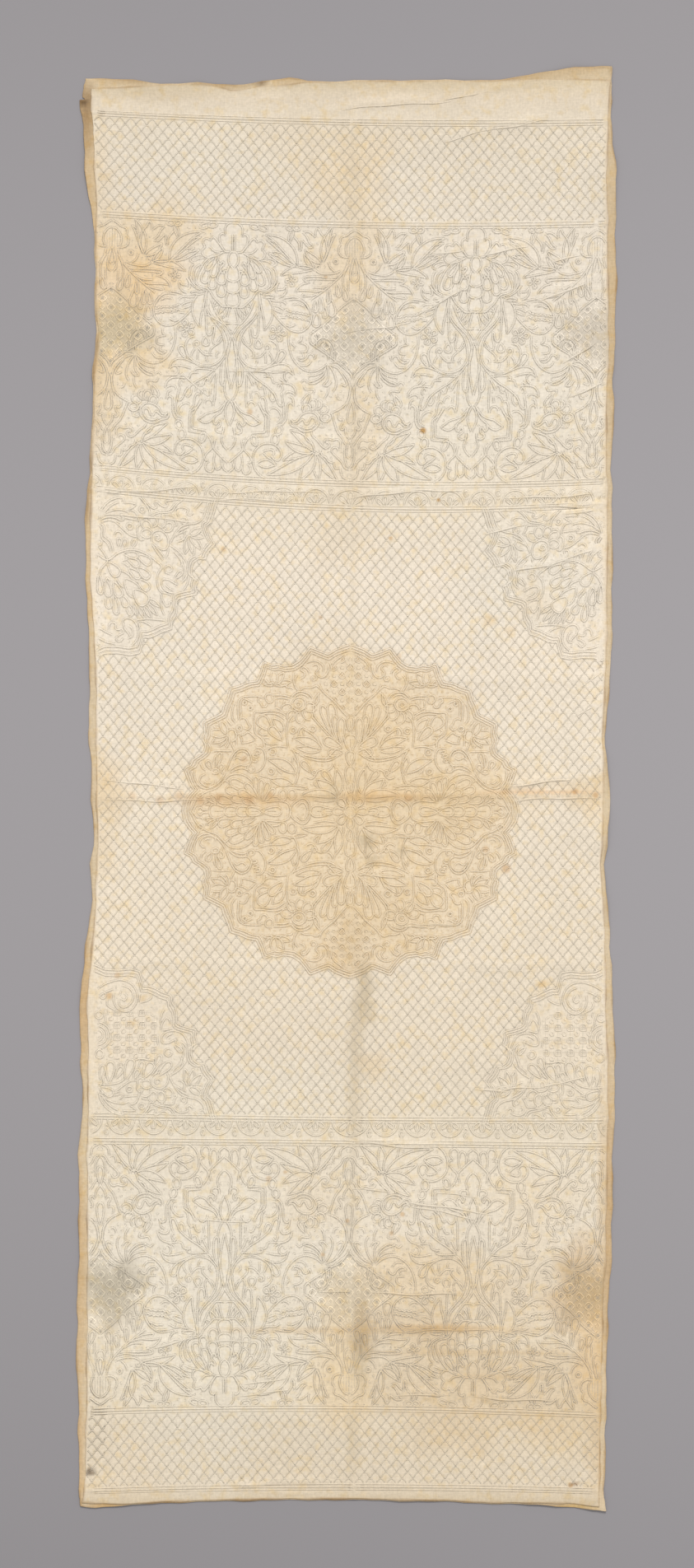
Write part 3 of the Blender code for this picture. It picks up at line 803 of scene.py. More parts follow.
@dataclass
class Medallion:
    """The round medallion of the centre field: one quadrant, mirrored four ways."""

    center: complex = complex(2, -34)
    sketch: Sketch = field(default_factory=Sketch)
    # The outline's corners, across and along from the middle.
    corners: tuple[tuple[int, int], ...] = (
        (0, 257), (9, 254), (22, 249), (34, 241), (50, 247), (62, 252), (68, 243), (78, 231), (89, 224),
        (104, 222), (112, 225), (121, 223), (133, 228), (138, 212), (144, 199), (158, 197), (171, 191),
        (185, 187), (188, 175), (194, 162), (198, 149), (212, 142), (226, 135), (224, 120), (228, 110),
        (223, 101), (225, 91), (233, 84), (242, 79), (246, 70), (256, 65), (252, 54), (246, 39), (241, 34),
        (249, 26), (256, 15), (259, 0),
    )

    def outline(self) -> np.ndarray:
        """The closed stepped and lobed outline, about nought."""
        side = np.array([complex(*corner) for corner in self.corners])
        half = np.concatenate((side, np.conj(side)[::-1]))
        return np.concatenate((half, -np.conj(half)[::-1]))

    def heart(self, s: Sketch) -> None:
        """The rosette in the middle and the petals round it."""
        s.draw(oval(0, 9, 9), line=Line.SEAM)
        s.draw(oval(0, 18, 18))
        for k in range(8):
            s.draw(leaf(8 * turned(45 * k), 45 * k, 18, 12, tip=Tip.ROUND))
        s.drops((22, 0, 44, 0, 13), (24, 0, 62, 0, 19))
        s.curls((62, 0, 64, 12, 72, 20, 82, 16, 91, 8, 92, 0), (66, 0, 68, 9, 74, 14, 84, 6))
        s.drops((0, 26, 0, 46, 12), (0, 34, 0, 70, 18), (0, 70, 0, 93, 15), (0, 92, 0, 119, 20))
        s.blades((20, 22, 76, 25, 12, -38), (19, 24, 52, 50, 17, 10))
        s.drops((24, 22, 46, 31, 9))
        s.blades((18, 26, 22, 66, 13, -24))
        s.drops((30, 38, 56, 44, 10), (27, 44, 43, 62, 10))
        s.curls(
            (12, 18, 10, 30, 14, 44, 20, 60, 26, 74), (22, 17, 40, 15, 58, 18),
            (26, 74, 30, 66, 38, 62, 46, 64, 52, 60, 56, 52, 62, 50, 70, 54), (64, 36, 74, 34, 86, 36),
            (40, 78, 30, 88, 22, 96, 12, 100),
        )
        s.drops((60, 60, 75, 77, 11), (52, 56, 58, 62, 8), (12, 98, 41, 111, 16), (11, 91, 34, 91, 13))
        s.curls((12, 92, 26, 84, 44, 82, 60, 84, 76, 88, 92, 96), (12, 90, 34, 78, 60, 80, 80, 88))

    def head_trellis(self, s: Sketch) -> None:
        """The lattice at the head, its fingers, its scroll and the stem beside it."""

        def ground(path: np.ndarray) -> np.ndarray:
            """Which points lie on the lattice under the head of the medallion."""
            return (np.abs(path.real) / 48 + np.abs(path.imag - 197) / 54 < 1) & (path.imag < 243)

        s.drops(
            (14, 104, 14, 144, 13), (17, 104, 25, 148, 10), (21, 110, 31, 167, 15), (28, 118, 44, 163, 12),
            (0, 122, 0, 146, 12), (3, 124, 7, 138, 7),
        )
        s.lattice(197j, 17.7, 90, 45, ground)
        s.curls(
            (0, 252, 12, 240, 24, 231, 29, 222), (0, 141, 14, 156, 24, 168, 42, 184, 48, 196),
            (13, 238, 12, 246, 18, 250, 23, 247, 28, 245, 28, 234),
        )
        s.draw(scroll(s.spot(57, 205), 6, 100, 420, 0.2), solid=False)
        s.curls(
            (34, 226, 35, 214, 42, 206, 50, 208, 53, 214, 48, 220, 52, 226, 59, 224),
            (62, 211, 66, 218, 72, 222, 77, 217, 70, 213, 72, 206, 79, 203), (80, 211, 85, 204, 86, 196),
            (42, 214, 41, 221, 45, 227, 53, 231, 63, 230, 71, 226),
            (29, 215, 31, 228, 41, 237, 56, 241, 71, 236, 82, 225, 88, 208, 86, 194, 80, 184),
            (44, 186, 52, 193, 60, 190, 70, 190, 78, 186),
            (16, 105, 36, 124, 54, 145, 57, 158, 54, 174, 46, 184), (20, 104, 42, 126, 60, 147),
            (96, 97, 98, 118, 96, 138, 88, 148), (50, 184, 49, 172, 53, 164, 62, 162),
        )

    def blossoms(self, s: Sketch) -> None:
        """The eye blossom, the comb, the rings and the plume between the two axes."""
        s.rings(4.5, (80, 164))
        s.draw(oval(s.spot(79, 165), 21, 20))
        s.lobes(6, (18, 14), (62, 160, 190), (66, 149, 232), (77, 144, 262), (90, 147, 300), (98, 158, 340))
        s.curls((58, 172, 63, 180, 74, 184, 84, 182, 92, 174), (63, 174, 70, 179, 80, 180, 87, 174))
        s.rings(4.6, (58, 127), (88, 124), (122, 61), (120, 91))
        s.blades((44, 97, 88, 113, 13, -26), (46, 99, 74, 128, 13, 20))
        s.drops((46, 98, 60, 118, 10))
        s.blades((45, 94, 84, 99, 10, 14))
        s.curls((66, 118, 69, 128, 75, 129, 80, 122, 79, 114, 84, 112, 89, 114))
        s.drops((104, 109, 125, 129, 14), (122, 124, 141, 144, 20))
        s.blades((103, 122, 121, 143, 12, -24))
        s.curls(
            (112, 104, 126, 103, 133, 107, 132, 113, 124, 112), (126, 118, 136, 117, 142, 123, 136, 129),
            (98, 146, 106, 151, 118, 154, 136, 152, 148, 151, 148, 132, 146, 119, 135, 110, 133, 98),
            (100, 140, 112, 148, 126, 150, 142, 147), (103, 150, 109, 157, 117, 159),
            (101, 171, 104, 160, 102, 151), (114, 172, 115, 160),
        )
        s.draw(s.corners((145, 110), (153, 118), (158, 122), (164, 117), (171, 116), (167, 110), (168, 104),
                         (158, 105), (145, 110)))
        s.curls(
            (120, 179, 129, 179, 131, 172, 125, 166, 119, 170, 121, 177),
            (128, 166, 130, 160, 137, 161, 138, 166, 143, 169, 140, 175, 133, 173),
            (90, 175, 104, 178, 120, 178), (92, 171, 104, 174, 116, 173),
        )
        comb = s.line(88, 186, 104, 191, 122, 194, 140, 190, 160, 187, 182, 184)
        s.draw(scallops(comb, 10, 3.2), solid=False)
        s.curls(
            (136, 176, 152, 176, 166, 174, 173, 166, 173, 150, 172, 138),
            (150, 166, 166, 172, 169, 160, 168, 146),
        )
        s.rings(3.4, (163, 166))
        s.rings(3.4, (154, 158))
        s.curls((172, 140, 166, 143, 160, 140, 158, 134, 154, 130, 158, 125, 165, 128))
        s.rings(4, (171, 127))
        s.curls((178, 128, 177, 118, 170, 119), (176, 100, 176, 118))

    def sprays(self, s: Sketch) -> None:
        """The half daisies in the outline's steps."""
        s.blades(
            (117, 194, 118, 219, 11), (117, 194, 136, 213, 10), (117, 194, 102, 213, 10),
            (117, 194, 90, 200, 9), (117, 194, 139, 199, 8), (190, 117, 201, 140, 10),
            (190, 117, 221, 121, 12), (190, 117, 213, 134, 9), (190, 117, 214, 104, 11),
            (190, 117, 203, 98, 9), (190, 117, 191, 97, 8),
        )
        s.draw(oval(s.spot(183, 116), 15, 19))
        s.curls(
            (176, 134, 182, 142, 182, 154, 178, 168), (178, 92, 184, 104, 186, 108),
            (182, 130, 190, 140, 192, 148),
        )

    def scrolls(self, s: Sketch) -> None:
        """The paired scrolls and the leafed ring toward the side."""
        s.draw(scroll(s.spot(152, 65), 8, 90, -430, 0.2), solid=False)
        for spot in ((143, 91), (146, 85), (148, 78)):
            s.draw(oval(s.spot(*spot), 9, 5, 10), solid=False)
        s.curls(
            (157, 84, 160, 90, 168, 92, 176, 88, 180, 80), (160, 84, 167, 79, 175, 83, 181, 77),
            (150, 60, 142, 61, 135, 68, 131, 78, 132, 90, 138, 97, 148, 97),
            (192, 60, 187, 74, 180, 88, 170, 96, 160, 94, 154, 86, 153, 76, 160, 70, 170, 71, 180, 67,
             188, 60), (156, 62, 166, 66, 176, 64, 186, 60),
        )
        s.draw(oval(s.spot(208, 61), 11, 8))
        s.drops((207, 66, 200, 90, 8), (214, 64, 221, 77, 9), (203, 60, 197, 72, 9))
        s.curls(
            (222, 62, 228, 66, 232, 76), (200, 88, 208, 84, 211, 74),
            (208, 48, 208, 42, 215, 38, 224, 39, 232, 46, 230, 54, 222, 57), (213, 44, 222, 43, 226, 48),
            (192, 60, 198, 50, 207, 41, 220, 35, 232, 38, 240, 50, 240, 63, 235, 76, 224, 87, 208, 92,
             192, 92, 182, 92), (196, 56, 200, 64, 197, 70),
        )
        s.blades((84, 58, 128, 80, 15, -36), (84, 54, 88, 84, 11, -14), (90, 44, 124, 50, 12, 20))
        s.drops((92, 60, 110, 72, 9))
        s.curls(
            (90, 96, 82, 82, 80, 66, 82, 50, 88, 38), (96, 98, 110, 100, 122, 98, 131, 93),
            (104, 57, 112, 63, 112, 72), (133, 98, 132, 106), (66, 36, 80, 40, 90, 40, 108, 40, 118, 36),
            (90, 40, 104, 50, 126, 52, 142, 56),
        )
        s.draw(oval(s.spot(90, 26), 12, 16))
        s.draw(oval(s.spot(104, 25), 12, 17))
        s.rings(5, (232, 25))

    def side_palmette(self, s: Sketch) -> None:
        """The palmette of scales on the side axis, its knot and its fringe."""
        s.drops(
            (136, 0, 160, 0, 16), (136, 0, 106, 0, 16), (134, 14, 117, 35, 9), (136, 16, 126, 45, 10),
            (138, 16, 137, 49, 10), (140, 18, 147, 54, 10),
        )
        s.curls((136, 14, 122, 15, 110, 16, 96, 12, 92, 0), (124, 22, 112, 22, 108, 16))
        for end in (160, 176, 195, 218):
            s.drops((end - 30, 0, end, 0, 17 if end < 218 else 24))
        s.drops(
            (146, 10, 166, 18, 9), (158, 14, 184, 22, 13), (180, 14, 204, 20, 14), (150, 22, 172, 31, 11),
            (166, 26, 192, 35, 13), (142, 20, 162, 43, 10), (150, 30, 186, 47, 15),
        )
        s.blades((205, 13, 216, 27, 6), (205, 13, 223, 21, 6), (205, 13, 226, 12, 6))
        s.draw(s.corners((212, 3), (228, 2), (231, 7), (236, 2), (232, -3), (228, 2)), solid=False)
        s.curls(
            (226, 14, 231, 9, 237, 9, 243, 0),
            (142, 22, 150, 44, 166, 56, 184, 56, 196, 46, 206, 36, 222, 30, 236, 20, 247, 0),
            (186, 42, 194, 48, 198, 42),
        )

    def strokes(self) -> list[Stroke]:
        """The whole medallion, in the design's frame."""
        s = self.sketch
        s.veined = True
        self.side_palmette(s)
        self.heart(s)
        self.head_trellis(s)
        self.blossoms(s)
        self.sprays(s)
        self.scrolls(s)
        s.fill(262, 262, 8.6, 4.2, 3.0)
        rim = self.outline()
        whole = []
        for stroke in s.kept(lambda p: (p.real >= 0) & (p.imag >= 0) & inside(p * 1.045, rim)):
            for side in (stroke.path, -np.conj(stroke.path)):
                for end in (side, np.conj(side)):
                    whole.append(Stroke(end + self.center, stroke.line))
        for scale, line in ((1.0, Line.CORD), (0.984, Line.BARE), (0.968, Line.CORD)):
            whole.append(Stroke(resampled(rim * scale, 1.4) + self.center, line))
        return whole


@dataclass
class Quarter:
    """A quarter medallion in a corner of the centre field, drawn from its corner outwards."""

    corner: complex
    mirror: complex
    palm: bool
    # The outline's corners, across and along from the field's own corner.
    corners: tuple[tuple[int, int], ...] = (
        (193, -6), (189, 6), (185, 20), (181, 32), (174, 37), (177, 46), (181, 56), (187, 64), (179, 73),
        (174, 81), (173, 87), (162, 87), (154, 93), (151, 102), (151, 111), (155, 118), (161, 119),
        (157, 130), (159, 140), (146, 143), (133, 147), (128, 151), (129, 162), (127, 173), (121, 182),
        (120, 193), (107, 197), (96, 203), (85, 207), (77, 206), (75, 216), (71, 230), (57, 233), (38, 231),
        (18, 232), (0, 240),
    )

    def outline(self) -> np.ndarray:
        """The stepped and lobed outline, about the corner, with across and along both positive."""
        return np.array([complex(*corner) for corner in self.corners]) + (2j if self.palm else -4j)

    def closed(self) -> np.ndarray:
        """The outline closed round its corner, far enough out to cover the field's edge."""
        return np.concatenate((self.outline(), [-40 + 240j, -40 - 40j, 192 - 40j, self.outline()[0]]))

    def placed(self, path: np.ndarray) -> np.ndarray:
        """Turns a path from the corner's own frame into the design's frame."""
        return self.corner + path.real * self.mirror.real + 1j * path.imag * self.mirror.imag

    def palmette(self, s: Sketch) -> None:
        """A palmette of scales set across the corner, with its fringe."""
        s.drops(
            (24, 112, 41, 130, 17), (64, 148, 84, 168, 23), (50, 134, 70, 156, 23), (34, 122, 58, 142, 23),
            (48, 98, 71, 99, 11), (70, 98, 91, 109, 14), (54, 104, 73, 113, 12), (70, 116, 88, 130, 14),
            (56, 118, 74, 131, 12), (70, 133, 88, 147, 14), (11, 130, 13, 159, 10), (22, 138, 26, 161, 12),
            (33, 139, 44, 161, 13), (24, 158, 26, 178, 11), (46, 158, 54, 174, 12), (34, 158, 38, 186, 10),
            (52, 168, 62, 186, 10),
        )
        s.blades(
            (64, 166, 70, 188, 6), (72, 172, 82, 190, 6), (80, 171, 92, 189, 6), (85, 167, 101, 184, 6),
            (87, 160, 106, 172, 6),
        )
        s.curls(
            (10, 90, 24, 109, 15, 121, 9, 136, 8, 152),
            (8, 102, 24, 109, 40, 98, 56, 92, 72, 92, 88, 98, 100, 106, 108, 113, 102, 122, 100, 134,
             103, 146, 110, 152), (46, 108, 54, 106, 52, 101), (46, 110, 56, 116, 58, 122),
            (16, 138, 20, 140, 24, 134, 28, 140),
        )
        s.drops((42, 90, 42, 76, 8), (52, 89, 50, 76, 8), (62, 88, 66, 76, 8))
        s.curls(
            (34, 74, 37, 68, 43, 67, 47, 72), (8, 90, 14, 88, 15, 82, 10, 80),
            (66, 193, 82, 190, 98, 190, 114, 191),
            (46, 200, 48, 193, 56, 190, 66, 195, 71, 208, 68, 222, 56, 232, 36, 238, 16, 234, 6, 228),
            (48, 196, 49, 204, 56, 212, 60, 219), (56, 200, 62, 206, 62, 216, 54, 219),
            (25, 210, 27, 200, 33, 197, 37, 201, 35, 206, 40, 208, 46, 206, 48, 212, 42, 215, 36, 220,
             42, 225, 49, 218), (10, 206, 22, 212, 32, 216), (8, 220, 22, 226, 36, 228),
        )

    def trellis(self, s: Sketch) -> None:
        """A square trellis set in the corner, with round fingers about it."""

        def ground(path: np.ndarray) -> np.ndarray:
            """Which points lie on the trellis."""
            across, down = path.real + s.origin.real, path.imag + s.origin.imag
            low = np.hypot(across - 52, down - 200) > 30
            return (across > 22) & (across < 101) & (down > 94) & (down < 181) & low & (across + down < 262)

        s.drops(
            (27, 60, 29, 93, 15), (14, 62, 17, 87, 9), (36, 66, 47, 85, 10), (52, 64, 62, 97, 15),
            (64, 66, 72, 81, 8), (80, 68, 93, 92, 15), (102, 72, 122, 93, 12), (42, 72, 46, 92, 9),
            (74, 72, 78, 94, 9), (98, 86, 106, 104, 9),
        )
        s.curls(
            (34, 200, 33, 188, 40, 175, 54, 171, 66, 180, 70, 196, 63, 212, 46, 220, 26, 216, 8, 206),
            (42, 190, 42, 181, 50, 177, 60, 184, 64, 196, 58, 207, 46, 212),
            (44, 192, 50, 188, 54, 194, 50, 200), (42, 196, 46, 204), (12, 196, 24, 202, 34, 206),
        )
        s.draw(scroll(s.spot(16, 195), 7, 90, -400, 0.25), solid=False)
        for radius in (9, 15, 21):
            s.draw(arc(s.spot(8, 133), radius, -90, 90), solid=False)
        s.draw(oval(s.spot(12, 104), 12, 14))
        s.draw(oval(s.spot(11, 165), 12, 12))
        s.curls((18, 148, 21, 158, 17, 172))
        s.lattice(s.spot(39, 112), 19.2, 150, 0, ground)
        s.drops((12, 52, 33, 41, 14))
        s.curls(
            (8, 58, 26, 57, 42, 60, 52, 68, 58, 78), (60, 92, 74, 98, 88, 96, 98, 96),
            (38, 172, 24, 180, 24, 190), (102, 118, 101, 134),
        )

    def leaves(self, s: Sketch) -> None:
        """The barbed leaves, rings and wavy stems along the field's edge."""
        s.curls(
            (10, 54, 14, 40, 24, 27, 36, 20, 48, 18, 46, 25), (46, 25, 58, 24, 69, 25),
            (69, 25, 62, 31, 57, 34, 66, 36, 71, 43, 73, 52), (12, 50, 24, 41, 38, 36, 50, 36, 58, 39),
            (12, 53, 24, 48, 36, 48, 47, 51, 48, 46, 43, 43, 48, 42), (48, 46, 58, 47, 72, 48),
            (13, 56, 26, 52, 36, 54, 48, 63, 60, 71, 71, 72), (16, 46, 28, 32, 42, 24),
            (14, 54, 30, 51, 44, 55),
        )
        s.rings(4.6, (77, 32))
        s.rings(4.6, (58, 58))
        s.curls(
            (12, 57, 19, 63, 18, 75, 28, 82, 33, 97), (10, 59, 15, 66, 15, 78, 24, 86, 29, 97),
            (78, 15, 88, 25, 95, 29, 100, 26, 96, 21, 99, 18, 106, 23, 113, 25, 117, 21, 112, 17, 119, 15,
             128, 13), (72, 13, 82, 22, 88, 31, 90, 39, 104, 34, 122, 31, 130, 20, 142, 10),
            (74, 14, 86, 28, 90, 36), (92, 36, 106, 31, 120, 28, 127, 20, 136, 12),
            (88, 43, 78, 44, 77, 52, 70, 57, 70, 66, 72, 75, 79, 75, 80, 67, 88, 68),
        )

    def flowers(self, s: Sketch) -> None:
        """The eye blossom, the star, the scrolls and the half daisy toward the outline."""
        s.draw(scroll(s.spot(101, 70), 6, 0, 430, 0.2), solid=False)
        s.draw(s.line(92, 78, 92, 67, 98, 61, 107, 60, 115, 66, 118, 76, 116, 84, 110, 88, 100, 84,
                      92, 78))
        s.lobes(5, (17, 13), (84, 66, 170), (84, 54, 215), (94, 47, 250), (107, 47, 280), (117, 54, 325))
        s.draw(s.corners((109, 36), (108, 44), (115, 50), (120, 57), (124, 51), (132, 50), (127, 43),
                         (126, 36), (109, 36)))
        s.draw(scroll(s.spot(141, 43), 6.5, -90, 420, 0.25), solid=False)
        s.curls(
            (126, 31, 131, 25, 139, 23, 149, 26, 146, 31, 151, 34, 157, 29), (132, 29, 131, 35, 136, 36),
            (120, 79, 124, 70, 130, 60, 138, 51, 149, 47, 162, 44, 171, 36, 176, 22, 180, 10),
            (158, 25, 166, 16, 172, 8), (165, 25, 172, 28, 176, 20), (126, 68, 136, 57, 150, 50),
        )
        s.blades(
            (150, 63, 170, 51, 9), (150, 63, 176, 63, 9), (150, 63, 170, 84, 9), (150, 63, 157, 92, 9),
            (150, 63, 143, 92, 9), (150, 63, 166, 74, 8),
        )
        s.curls(
            (130, 74, 136, 73, 141, 70, 144, 64, 141, 59, 147, 56), (128, 66, 134, 62, 141, 59),
            (92, 80, 100, 92, 110, 104), (98, 84, 106, 92, 112, 100), (118, 84, 116, 94, 112, 100),
            (120, 80, 134, 89, 145, 103, 149, 119, 147, 134, 139, 146, 126, 150, 113, 147, 107, 138,
             109, 131, 118, 131, 126, 135, 133, 138), (124, 87, 136, 100, 142, 116, 140, 130),
            (113, 138, 118, 143, 126, 146),
        )
        s.drops((127, 129, 139, 117, 7))
        s.curls(
            (121, 122, 114, 121, 112, 114, 119, 110, 124, 116, 119, 119),
            (136, 112, 139, 104, 136, 97, 132, 94), (137, 134, 143, 129, 147, 121),
            (128, 130, 130, 136, 126, 139),
        )
        for corner in ((106, 150), (72, 193)):
            spot = s.spot(*corner)
            lobed = (0, 2 + 10j, 8 + 20j, 13 + 18j, 15 + 12j, 18 + 14j, 19 + 6j, 12 + 2j, 0)
            if corner[0] < 100:
                lobed = tuple(complex(complex(point).imag, complex(point).real) for point in lobed)
            s.draw(along(*(spot + point for point in lobed)))
        s.curls((110, 152, 106, 164, 108, 176, 112, 184), (116, 152, 124, 162, 124, 176, 118, 188))

    def strokes(self) -> list[Stroke]:
        """The quarter medallion's lines, in the design's frame."""
        s = Sketch(origin=2 + 8j)
        (self.palmette if self.palm else self.trellis)(s)
        s.origin = 2 + (8j if self.palm else 16j)
        self.flowers(s)
        self.leaves(s)
        s.fill(200, 244, 9.0, 4.4, 3.0)
        rim = self.closed()
        kept = s.kept(lambda p: (p.real >= 0) & (p.imag >= 1.5) & inside(p * 1.055, rim))
        lines = [Stroke(self.placed(stroke.path), stroke.line) for stroke in kept]
        edge = self.outline()
        for scale, line in ((1.0, Line.CORD), (0.98, Line.BARE), (0.96, Line.CORD)):
            lines.append(Stroke(self.placed(resampled(edge * scale, 1.4)), line))
        return lines


@dataclass
class ScaleField:
    """A field of overlapping scales with their domes to the head, in rows set half a scale apart."""

    low: float
    high: float
    holes: list[np.ndarray] = field(default_factory=list)
    pitch: float = 16.5
    rise: float = 9.9
    reach: float = 400.0

    def strokes(self) -> list[Stroke]:
        """One short arc for each scale, cut where the field ends."""
        share = np.linspace(-1, 1, 11)
        dome = self.pitch / 2 * share + 1j * self.rise * (1 - np.abs(share) ** 1.8)
        lines = []
        for row in range(-1, int((self.high - self.low) / self.rise) + 1):
            foot = self.low + row * self.rise
            for k in range(-int(self.reach / self.pitch) - 1, int(self.reach / self.pitch) + 2):
                path = dome + complex((k + (row % 2) / 2) * self.pitch, foot)
                keep = (path.imag > self.low + 1.5) & (path.imag < self.high - 1.5)
                for hole in self.holes:
                    if min(hole.real) < max(path.real) and max(hole.real) > min(path.real):
                        if min(hole.imag) < max(path.imag) and max(hole.imag) > min(path.imag):
                            keep &= ~inside(path, hole)
                lines += [Stroke(run) for run in runs(path, keep)]
        return lines


@dataclass
class Design:
    """The quilting of the whole face, in the design's own frame of millimetres."""

    rule_margin: float = 3.0
    rule_row_offset: float = 4.2
    foot_band_depth: float = 409.0

    def parts(self) -> dict[str, list[Stroke]]:
        """The lines of each field, by the name of the field's piece."""
        head_end, band_head, guard_head, field_head, field_foot, guard_foot, band_foot, foot_end = RULES
        clear, medallion = self.rule_margin, Medallion()
        corners = (
            Quarter(complex(-394, field_head), 1 - 1j, True),
            Quarter(complex(398, field_head), -1 - 1j, True),
            Quarter(complex(-394, field_foot), 1 + 1j, False),
            Quarter(complex(398, field_foot), -1 + 1j, False),
        )
        holes = [medallion.outline() + medallion.center]
        holes += [corner.placed(corner.closed()) for corner in corners]
        flowers = FlowerBand()
        band = flowers.strokes()
        guard = GuardBorder().strokes()
        stretched = [np.conj(s.path) * self.foot_band_depth / flowers.depth for s in band]
        across = np.arange(-398, 402, 4.0)
        ruled = []
        for rule in RULES:
            ruled.append(Stroke(across + 1j * rule))
            for shift in (self.rule_row_offset, -self.rule_row_offset):
                ruled.append(Stroke(across + 1j * (rule + shift), Line.BARE))
        return {
            "ruled": ruled,
            "head_scales": ScaleField(band_head + clear, head_end - clear).strokes(),
            "foot_scales": ScaleField(foot_end + clear, band_foot - clear).strokes(),
            "centre_scales": ScaleField(field_foot + clear, field_head - clear, holes).strokes(),
            "head_band": [Stroke(s.path + 1j * band_head, s.line) for s in band],
            "foot_band": [Stroke(path + 1j * band_foot, s.line) for path, s in zip(stretched, band)],
            "head_guard": [Stroke(s.path + 1j * guard_head, s.line) for s in guard],
            "foot_guard": [Stroke(np.conj(s.path) + 1j * guard_foot, s.line) for s in guard],
            "medallion": medallion.strokes(),
            "corners": [stroke for corner in corners for stroke in corner.strokes()],
        }


def column(table: np.ndarray, number: int, places: np.ndarray) -> np.ndarray:
    """Reads one column of a table at places given in its first column's units."""
    return np.interp(places, table[:, 0], table[:, number])


def weave_rise(x: np.ndarray, v: np.ndarray) -> np.ndarray:
    """How far the row that crosses the middle line at v has risen at x."""
    left, right = column(SAGS, 1, v), column(SAGS, 2, v)
    share = x / SAG_SPAN
    return (right - left) / 2 * share + (right + left) / 2 * share * share


def ramp(value: np.ndarray, start: float, end: float) -> np.ndarray:
    """Nought before start and one past end, straight between them."""
    return np.clip((value - start) / (end - start), 0, 1)


def bump(distance: np.ndarray, half_width: float) -> np.ndarray:
    """A soft hump of height one that dies out at half_width."""
    return 0.5 * (1 + np.cos(np.pi * np.clip(distance / half_width, -1, 1)))


def folded(x: np.ndarray, y: np.ndarray, folds: tuple[Fold, ...]) -> np.ndarray:
    """How far a set of folds lifts the cloth at each place."""
    place = x + 1j * y
    height = np.zeros(x.shape)
    for number, fold in enumerate(folds):
        line = fold.end - fold.start
        length = abs(line)
        local = (place - fold.start) * np.conj(line) / length
        strength = 0.78 + 0.22 * np.sin(local.real / 47 + 1.7 * number)
        ends = ramp(local.real, -30, 20) * ramp(length - local.real, -30, 20)
        shape = fold.height * bump(local.imag - wander(local.real, number), fold.half_width) * ends * strength
        height = np.maximum(height, shape)
    return height


def wander(places: np.ndarray, number: int) -> np.ndarray:
    """How far a fold strays to its left, at places along it."""
    return 1.6 * np.sin(places / 31 + number) + 0.9 * np.sin(places / 13 + 2 * number)


def creased(x: np.ndarray, y: np.ndarray) -> np.ndarray:
    """How far the face's own finer creases lift it at each place."""
    folds = tuple(
        Fold(complex(x0, y0 + wide / 2), complex(x1, y1 + wide / 2), wide, height)
        for x0, y0, x1, y1, wide, height in CREASES
    )
    return folded(x, y, folds)


def cloth_rise(x: np.ndarray, y: np.ndarray) -> np.ndarray:
    """The height of both cloths over a flat surface, with their folds and lifted edges."""
    height = folded(x, y, FOLDS)
    lifted = {
        "left": (ramp(x, LEFT_FLAT, LEFT_LIFTED), y),
        "right": (ramp(x, RIGHT_FLAT, RIGHT_LIFTED), y),
        "head": (ramp(y, HEAD_FLAT, HEAD_LIFTED), x),
        "foot": (ramp(y, FOOT_FLAT, FOOT_LIFTED), x),
    }
    for side, middle, half_length, rise in RIPPLES:
        share, run = lifted[side]
        height = np.maximum(height, rise * bump(run - middle, half_length) * share)
    return height


